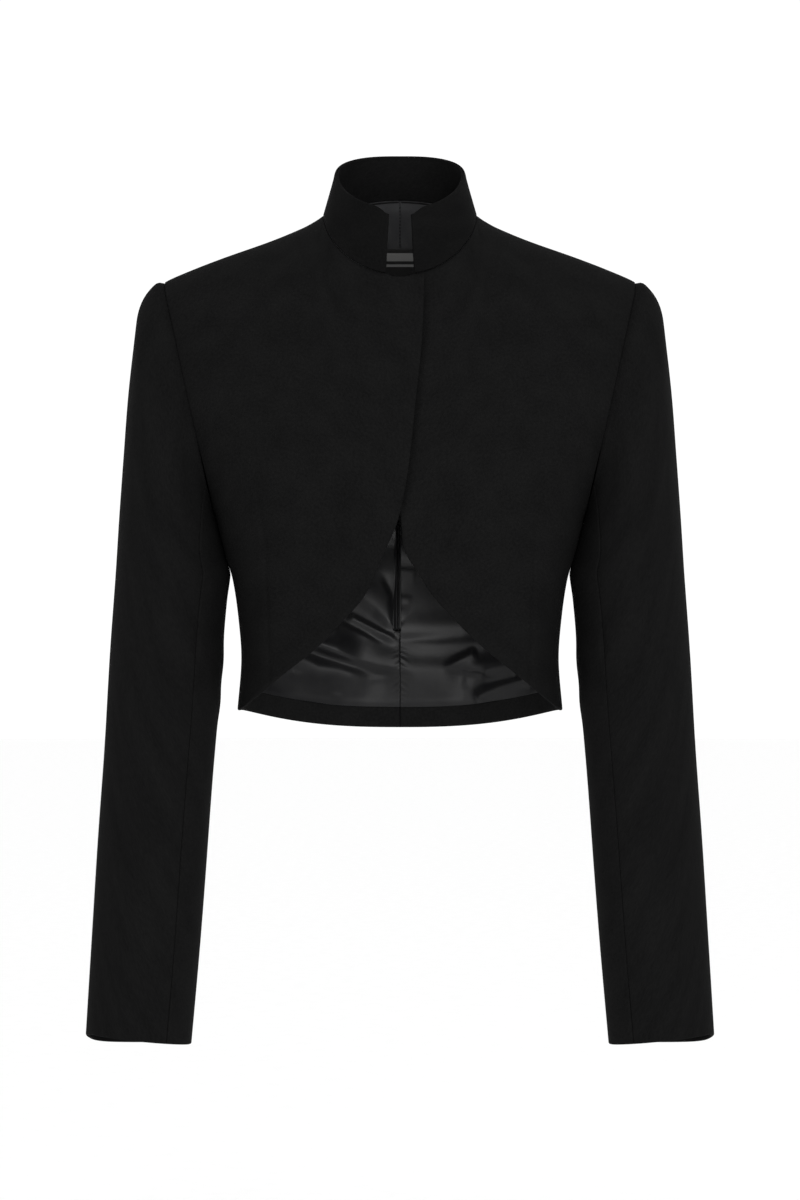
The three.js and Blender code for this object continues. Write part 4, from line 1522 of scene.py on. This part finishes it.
@dataclass
class BackLining:
    """The satin lining of the back: two halves, a loose pleat with its strip, a seam and a tack."""

    form: TrunkForm
    backs: Backs
    half_cut: Cut = Cut(0.239, 0.457, 0.0815)
    strip_cut: Cut = Cut(0.020, 0.140, 0.0026)
    wall: float = 1.0
    edge: float = 0.3
    clearance: float = 0.6
    overhang: float = 1.8
    steps_across: Steps = Steps(225.0, 0.3, 1.5, (0, 0.12, 0.3, 0.5))
    # The first rows, as distances up from the lining's hem.
    hem_rows: tuple[float, ...] = (0.0, 0.12, 0.28, 0.5, 0.8, 1.1)
    hem_rows_gap: float = 0.6
    shown_top: float = -255.0
    shown_step: float = 1.35
    upper_fine: float = 0.4
    upper_coarse: float = 3.2
    pleat_top: float = -150.0
    pleat_full: float = -250.0
    pleat_bottom: float = -349.0
    pleat_settles: float = 8.0
    pleat_closes: float = 30.0
    pleat_wide: float = 3.5
    pleat_flare: float = 2.6
    pleat_flare_over: Span = (290.0, 340.0)
    pleat_lap: float = -0.6
    pleat_deep: float = 1.5
    pleat_reach: float = 5.0
    pleat_fade: float = 48.0
    slot_foot: Span = (-1.5, 1.0)
    slot_reach: float = 16.0
    seam_groove: Swell = Swell(0.15, 0.0, 0.5)
    pucker: Swell = Swell(0.32, 2.0, 3.6)
    pucker_starts: Span = (355.0, 372.0)
    pucker_ends: Span = (402.0, 412.0)
    pucker_pitch: float = 1.35
    pucker_lean: float = 0.5
    pucker_wander: Span = (1.3, 0.31)
    pucker_stagger: float = 0.9
    ripple: Swell = Swell(0.35, 0.0, 30.0)
    ripple_wave: float = 0.21
    ripple_starts: Span = (60.0, 120.0)
    ripple_ends: Span = (250.0, 262.0)
    hem_stand: float = 2.4
    hem_stand_over: Span = (1.0, 34.0)
    hem_roll: Swell = Swell(0.25, 4.0, 2.5)
    # The lining's top edge rolls off its bed, lies close to the back and is pulled up.
    neck_roll: float = 0.4
    neck_roll_over: tuple[float, float, float] = (0.0, 9.0, 34.0)
    neck_tight_by: float = 16.0
    neck_flat_by: float = 10.0
    neck_raise: float = 2.8
    neck_raised_by: float = 12.0
    # How strongly each patch is rubbed, how far out it lies and how far down.
    rubs: tuple[tuple[float, Span, Span], ...] = (
        (1.0, (42.0, 62.0), (376.0, 390.0)),
        (0.4, (4.0, 12.0), (348.0, 356.0)),
    )
    strip_rows: int = 50
    strip_columns: int = 61
    strip_reach: Span = (-9.0, 6.0)
    strip_ends: Span = (1.0, 40.0)
    strip_wall: float = 0.5
    strip_edge: float = 0.4
    strip_clearance: float = 0.15
    # Where the fold and the ridge lie across the strip, and how far they stand off.
    strip_fold: Span = (-2.8, 1.5)
    strip_fold_round: float = 1.2
    strip_ridge: Span = (-1.3, 2.3)
    strip_ridge_over: Span = (0.25, 1.0)
    stitch_step: float = 2.9
    stitch_size: Span = (2.0, 0.36)
    stitch_lean: Span = (0.0, 1.0)
    # Each run of stitches: how far out it lies, its foot, its head and how deep it is sunk.
    low_stitches: tuple[float, float, float, float] = (0.3, -411.0, -352.0, -0.1)
    neck_stitches: tuple[float, float, float, float] = (0.0, -12.0, 20.0, 0.15)
    tack_count: int = 7
    tack_start: float = -4.6
    tack_step: float = 0.8
    tack_drop: float = 0.6
    tack_bed: Span = (-2.0, -1.0)
    tack_size: Span = (2.2, 0.34)
    tack_lean: Span = (0.35, 1.0)
    stitch_shade: float = 0.004
    tack_shade: float = 0.02
    right_creases: tuple[Crease, ...] = (
        Crease(((-26, -260.5), (5, -260.5)), 4.8, 9.0, 10.0, (5, 5)),
        Crease(((-33, -332), (-29, -305), (-20, -262)), 1.5, 10.0, 22.0, (26, 8)),
        Crease(((-17, -295), (-12, -305), (-6, -318), (-4.5, -346)), -1.4, 6.0, 3.2, (20, 6)),
        Crease(((-44, -311), (-20, -329), (-3, -346)), 2.8, 14.0, 5.0, (12, 8)),
        Crease(((-48, -334), (-24.5, -346), (2, -359.5)), 2.1, 2.8, 4.0, (8, 12)),
        Crease(((-60, -340), (-38, -350), (-14, -362)), 2.0, 2.8, 12.0, (8, 18)),
        Crease(((-92, -355), (-66, -362), (-40, -371), (-18, -377), (15, -382)), 5.4, 16.0, 5.0, (8, 30)),
        Crease(((-15, -381), (10, -383), (58, -384)), 5.0, 13.0, 24.0, (30, 24)),
        Crease(((-98, -352), (-66, -362), (-44, -369), (-30, -373)), 8.0, 14.0, 4.5, (8, 30)),
        Crease(((-102, -366), (-72, -380), (-54, -382.5), (-42, -386), (-20, -394)), 6.8, 9.0, 16.0, (6, 28)),
        Crease(((-100, -382), (-85, -388)), 1.3, 2.4, 4.0, (6, 6)),
        Crease(((-62, -402.5), (-49, -404.5)), 0.6, 2.2, 4.0, (5, 5)),
        Crease(((-30, -389.5), (8, -388)), 0.5, 2.4, 3.5, (8, 8)),
    )
    left_creases: tuple[Crease, ...] = (
        Crease(((-5, -274), (44, -279)), 2.6, 10.0, 14.0, (5, 8)),
        Crease(((-3, -296), (16, -297.5)), 0.4, 2.2, 10.0, (3, 5)),
        Crease(((-3, -319.5), (12, -322)), 0.35, 2.6, 4.0, (3, 6)),
        Crease(((-5, -344.5), (62, -344)), 1.2, 9.0, 8.0, (5, 10)),
        Crease(((-2, -360.5), (36, -361), (78, -358)), 1.3, 5.5, 7.0, (22, 6)),
        Crease(((36, -381), (56, -371), (68, -365)), 2.8, 3.0, 5.0, (16, 5)),
        Crease(((34, -377.5), (56, -379), (76, -381), (106, -376)), 6.5, 12.0, 4.0, (30, 6)),
        Crease(((57, -400), (59, -388), (62, -378)), 0.9, 4.0, 4.0, (8, 6)),
        Crease(((71, -386), (84, -385), (106, -382)), 3.4, 3.4, 4.0, (7, 6)),
        Crease(((64, -407.5), (77, -401), (91, -395.5), (116, -387.5)), 4.4, 6.0, 6.0, (8, 6)),
    )

    def pleat_open(self, z: Array) -> Array:
        """Returns how far the pleat stands off at a height, from 0 to 1."""
        low = ease(z, self.pleat_bottom - self.pleat_settles, self.pleat_bottom)
        return low * (1 - ease(z, self.pleat_full, self.pleat_top + self.pleat_closes))

    def slot_shift(self, from_seam: Array, z: Array) -> Array:
        """Finds how much the halves are drawn aside where the pleat is open.

        Args:
            from_seam: Distances from the middle seam.
            z: Heights.

        Returns:
            The share of the full shift, from 0 to 1.
        """
        low = ease(z, *(self.pleat_bottom + step for step in self.slot_foot))
        width = low * (1 - ease(z, self.pleat_full, self.pleat_top))
        return width * np.maximum(1 - from_seam / self.slot_reach, 0) ** 2

    def rise(self, x: Array, z: Array) -> Array:
        """Finds how far the lining stands off its bed: at the pleat, creases, puckers and hem.

        Args:
            x: Distances from the middle, to the wearer's left.
            z: Heights.

        Returns:
            The height in millimetres.
        """
        from_fold = 1 - ease(np.abs(x), self.pleat_reach, self.pleat_fade)
        rise = self.pleat_deep * self.pleat_open(z) * from_fold
        rise = rise + creased(self.right_creases + self.left_creases, x, z)
        sewn = ease(-z, *self.pucker_starts) * (1 - ease(-z, *self.pucker_ends))
        reach, slow = self.pucker_wander
        wander = reach * np.sin(z * slow) + self.pucker_stagger * np.sign(x)
        drawn = np.sin((z + self.pucker_lean * np.abs(x)) * self.pucker_pitch + wander)
        rise = rise + self.pucker.at(np.abs(x)) * drawn * sewn
        rippled = ease(-z, *self.ripple_starts) * (1 - ease(-z, *self.ripple_ends))
        rise = rise + self.ripple.at(x) * np.sin(z * self.ripple_wave) * rippled
        from_hem = z - self.form.hem_at(x) - self.backs.turn_up + self.overhang
        stand = self.hem_stand * (1 - ease(from_hem, *self.hem_stand_over))
        return rise + stand + self.hem_roll.at(from_hem)

    def build(self, wardrobe: Wardrobe, label: bpy.types.Object) -> None:
        """Makes and dresses the lining, with its strip, seam stitches and tack.

        Args:
            wardrobe: The finishes.
            label: The neck label, which is sewn on the right half. It is not used.
        """
        sewn = {Side.RIGHT: [label], Side.LEFT: self.stitches()}
        satin, both = wardrobe.satin, ["back_right", "back_left"]
        for side in (Side.RIGHT, Side.LEFT):
            piece, node, back = self.half(side).build(), f"back_lining_{side.word}", f"back_{side.word}"
            place_piece(piece, satin, [node])
        strip = self.strip().build()
        place_piece(strip, satin, ["lining_pleat"])

    def rows_up(self) -> Array:
        """Divides the lining's height: fine at the hem, even where it shows, then coarser.

        Returns:
            The shares of the back's height.
        """
        height = self.backs.rise
        low = (self.backs.turn_up - self.overhang) / height
        shown_top = (self.shown_top - float(self.form.hem_at(0.0))) / height
        hem = low + np.array(self.hem_rows) / height
        shown = np.arange(low, shown_top, self.shown_step / height)
        rest = Steps((1 - shown_top) * height, self.upper_fine, self.upper_coarse, (1.0,))
        upper = mix(shown_top, 1.0, rest.shares())
        above_hem = shown > hem[-1] + self.hem_rows_gap / height
        return np.concatenate([hem, shown[above_hem], upper[upper > shown[-1]]])

    def half(self, side: Side) -> Wall:
        """Lays out one half of the lining, drawn back from the middle where the pleat is open.

        Args:
            side: The wearer's side.

        Returns:
            The wall of cloth, marked where the satin is rubbed.
        """
        across, up = self.steps_across.shares() ** SPREAD, self.rows_up()
        places = self.form.patch(Face.BACK, across, up, self.backs.side_share, self.backs.neck_share)
        points = self.form.point(Face.BACK, places)
        normals = self.form.normal(Face.BACK, places)
        x, z = side.value * points[..., 0], points[..., 2]
        name = f"back_lining_{side.word}_satin"
        faced = on_side(normals, side)
        wall = Wall(name, on_side(points, side), faced, self.wall, edge_round=self.edge)
        flare = self.pleat_wide + self.pleat_flare * ease(-z, *self.pleat_flare_over)
        shift = flare if side is Side.RIGHT else self.pleat_lap
        drawn = self.slot_shift(wall.across, z) * shift
        groove = self.seam_groove.at(wall.across) * (1 - self.pleat_open(z))
        rise = self.rise(x - drawn, z) - groove
        top = wall.up[-1:] - wall.up
        rolls, rolled, flat = self.neck_roll_over
        roll = self.neck_roll * ease(top, rolls, rolled) * (1 - ease(top, rolled, flat))
        tight = self.clearance * (1 - ease(top, 0, self.neck_tight_by))
        bed = self.backs.wall + self.clearance + roll - tight
        sunk = bed + rise * ease(top, 0, self.neck_flat_by)
        wall.points = on_side(points - normals * sunk[..., None], side)
        wall.points[..., 0] -= drawn
        wall.points[..., 2] += self.neck_raise * (1 - ease(top, 0, self.neck_raised_by))
        if side is Side.RIGHT:
            patches = (share * ease(-x, *out) * ease(-z, *down) for share, out, down in self.rubs)
            wall.marks["rubbed"] = sum(patches)
        return wall

    def under_back(self, x: Array, z: Array, depth: Array | float) -> tuple[Array, Array]:
        """Finds places under the back's surface.

        Args:
            x: Distances from the middle, to the wearer's left.
            z: Heights.
            depth: How far under the surface.

        Returns:
            The points and the outward normals.
        """
        place = self.form.place(Face.BACK, np.abs(x), z)
        normal = self.form.normal(Face.BACK, place)
        point = self.form.point(Face.BACK, place) - normal * np.asarray(depth)[..., None]
        mirrored = np.stack([np.where(x < 0, -1.0, 1.0), np.ones_like(x), np.ones_like(x)], axis=-1)
        return point * mirrored, normal * mirrored

    def strip(self) -> Wall:
        """Lays out the satin strip at the back of the pleat: a shallow fold with a ridge in it.

        Returns:
            The wall of cloth.
        """
        foot, head = self.pleat_bottom + self.strip_ends[0], self.pleat_full + self.strip_ends[1]
        rows = np.linspace(foot, head, self.strip_rows)
        columns = np.linspace(*self.strip_reach, self.strip_columns)
        z, x = np.meshgrid(rows, columns, indexing="ij")
        middle, deep = self.strip_fold
        place, height = self.strip_ridge
        ridge = height * (1 - ease(np.abs(x - place), *self.strip_ridge_over))
        fold = deep * np.minimum(np.abs((x - middle) / middle), 1) ** self.strip_fold_round
        depth = self.backs.wall + self.strip_clearance + fold + ridge
        points, normals = self.under_back(x, z, depth)
        start = float(foot - self.form.hem_at(0.0))
        name = "lining_pleat_satin"
        return Wall(name, points, normals, self.strip_wall, edge_round=self.strip_edge, start=start)

    def stitches(self) -> list[bpy.types.Object]:
        """Makes the stitches of the middle seam and the tack that closes the pleat.

        Returns:
            The two pieces.
        """
        bed = self.backs.wall + self.clearance + self.wall
        x, foot, head, off = self.low_stitches
        heights = np.arange(foot, head, self.stitch_step)
        places = [(x, z, bed + float(self.rise(0.0, z)) + off) for z in heights]
        x, foot, head, off = self.neck_stitches
        places += [(x, z, bed + off) for z in np.arange(foot, head, self.stitch_step)]
        seam = self.stitch_row("lining_seam_stitches", places, self.stitch_lean, *self.stitch_size)
        depth = bed + float(self.rise(self.tack_bed[0], self.pleat_bottom + self.tack_bed[1]))
        z = self.pleat_bottom - self.tack_drop
        places = [(self.tack_start + self.tack_step * k, z, depth) for k in range(self.tack_count)]
        tack = self.stitch_row("pleat_bar_tack", places, self.tack_lean, *self.tack_size)
        for piece, shade in ((seam, self.stitch_shade), (tack, self.tack_shade)):
            place_piece(piece, ThreadFinish(name=f"{piece.name}_thread", shade=shade).material())
        return [seam, tack]

    def stitch_row(
        self, name: str, places: Sequence[Place], run: Span, length: float, radius: float
    ) -> bpy.types.Object:
        """Makes a row of short stitches that lie on the lining.

        Args:
            name: The piece's name.
            places: Distance from the middle, height and depth under the back of each stitch.
            run: The direction of the stitches, across and up.
            length: The length of one stitch, in millimetres.
            radius: Its half thickness.

        Returns:
            The new object.
        """
        maker = bmesh.new()
        heading = Vector((run[0], 0.0, run[1])).normalized()
        turn = Vector((0, 0, 1)).rotation_difference(heading).to_matrix()
        for x, z, depth in places:
            point, _ = self.under_back(np.array([x]), np.array([z]), depth)
            made = bmesh.ops.create_uvsphere(maker, u_segments=6, v_segments=5, radius=radius * MM)
            for vert in made["verts"]:
                vert.co.z *= length / 2 / radius
                vert.co = turn @ vert.co + Vector(point[0] * MM)
        bmesh.ops.recalc_face_normals(maker, faces=maker.faces[:])
        mesh = bpy.data.meshes.new(name)
        maker.to_mesh(mesh)
        maker.free()
        mesh.polygons.foreach_set("use_smooth", np.ones(len(mesh.polygons), bool))
        made_object = bpy.data.objects.new(name, mesh)
        bpy.context.scene.collection.objects.link(made_object)
        return made_object


@dataclass
class NeckLabel:
    """The woven label at the middle of the back neck, on the lining."""

    lining: BackLining
    half_width: float = 29.0
    top: float = -15.0
    bottom: float = -43.0
    wall: float = 0.9
    proud: float = 0.35
    cut: Cut = Cut(0.058, 0.029, 0.00168)
    edge: float = 0.5
    fine: float = 0.2
    coarse_up: float = 1.2
    coarse_across: float = 1.5

    def build(self, wardrobe: Wardrobe) -> bpy.types.Object:
        """Makes and dresses the label.

        Args:
            wardrobe: The finishes.

        Returns:
            The new object.
        """
        rows = Steps(self.top - self.bottom, self.fine, self.coarse_up).shares()
        columns = Steps(2 * self.half_width, self.fine, self.coarse_across).shares()
        heights, places = mix(self.bottom, self.top, rows), mix(-self.half_width, self.half_width, columns)
        z, x = np.meshgrid(heights, places, indexing="ij")
        depth = self.lining.backs.wall + self.lining.clearance + self.lining.wall + self.proud
        points, normals = self.lining.under_back(x, z, depth)
        piece = Wall("neck_label_woven", points, normals, self.wall, edge_round=self.edge).build()
        place_piece(piece, wardrobe.label, ["neck_label"])
        return piece


@dataclass
class Studio:
    """A pale floor, soft light from all round, a large soft lamp in front, and the camera."""

    distance: float = 3.2
    eye_height: float = -0.3213
    lens: float = 112.94
    film_width: float = 36.0
    seen: Span = (0.1, 60.0)
    floor_height: float = -0.95
    floor_radius: float = 14.0
    floor_speckle: float = 40.0
    floor_roughness: float = 0.9
    floor_gloss: float = 0.1
    surround: float = 1.05
    lamp_power: float = 65.0
    lamp_size: Span = (2.6, 2.2)
    lamp_place: Place = (0.7, -3.4, 0.0)
    lamp_aim: Place = (0.0, 0.0, -0.35)

    def build(self) -> None:
        """Makes the studio."""
        self.camera()
        self.floor()
        self.lamps()
        world = bpy.data.worlds.new("studio_surround")
        bpy.context.scene.world = world
        world.use_nodes = True
        ground = world.node_tree.nodes["Background"]
        ground.inputs["Color"].default_value = (1.0, 1.0, 1.0, 1.0)
        ground.inputs["Strength"].default_value = self.surround
        bpy.context.scene.view_settings.view_transform = "Standard"

    def camera(self) -> None:
        """Stands the camera in front of the jacket, level."""
        data = bpy.data.cameras.new("camera")
        data.lens = self.lens
        data.sensor_width = self.film_width
        data.clip_start, data.clip_end = self.seen
        camera = bpy.data.objects.new("camera", data)
        camera.location = (0.0, -self.distance, self.eye_height)
        camera.rotation_euler = (math.pi / 2, 0.0, 0.0)
        bpy.context.scene.collection.objects.link(camera)
        bpy.context.scene.camera = camera

    def floor(self) -> None:
        """Lays the floor and gives it a plain pale finish."""
        maker = bmesh.new()
        bmesh.ops.create_circle(maker, cap_ends=True, segments=96, radius=self.floor_radius)
        bmesh.ops.translate(maker, verts=maker.verts[:], vec=(0, 0, self.floor_height))
        mesh = bpy.data.meshes.new("studio_floor")
        maker.to_mesh(mesh)
        maker.free()
        nodes = NodeMaker("pale_floor")
        place = nodes.add("ShaderNodeTexCoord").outputs["Object"]
        speckle = nodes.noise(place, self.floor_speckle)
        colour = nodes.shades(speckle, ((0.3, grey(0.93)), (0.7, grey(0.95))))
        mesh.materials.append(nodes.finish(colour, self.floor_roughness, self.floor_gloss))
        floor = bpy.data.objects.new("studio_floor", mesh)
        bpy.context.scene.collection.objects.link(floor)

    def lamps(self) -> None:
        """Hangs one large soft lamp in front, above the eye and to the wearer's left."""
        data = bpy.data.lights.new("front_lamp", "AREA")
        data.shape = "RECTANGLE"
        data.size, data.size_y = self.lamp_size
        data.energy = self.lamp_power
        lamp = bpy.data.objects.new("front_lamp", data)
        lamp.location = self.lamp_place
        aim = Vector(self.lamp_aim) - Vector(lamp.location)
        lamp.rotation_euler = aim.to_track_quat("-Z", "Y").to_euler()
        bpy.context.scene.collection.objects.link(lamp)


def main() -> None:
    """Builds the studio and the jacket's pieces in order."""
    logging.basicConfig(level=logging.INFO, format="%(message)s")
    Studio().build()
    wardrobe = Wardrobe.make()
    form = TrunkForm()
    Fronts(form).build(wardrobe)
    backs = Backs(form)
    backs.build(wardrobe)
    Sleeves(form).build(wardrobe)
    Collar(form).build(wardrobe)
    lining = BackLining(form, backs)
    label = NeckLabel(lining).build(wardrobe)
    lining.build(wardrobe, label)


if __name__ == "__main__":
    main()
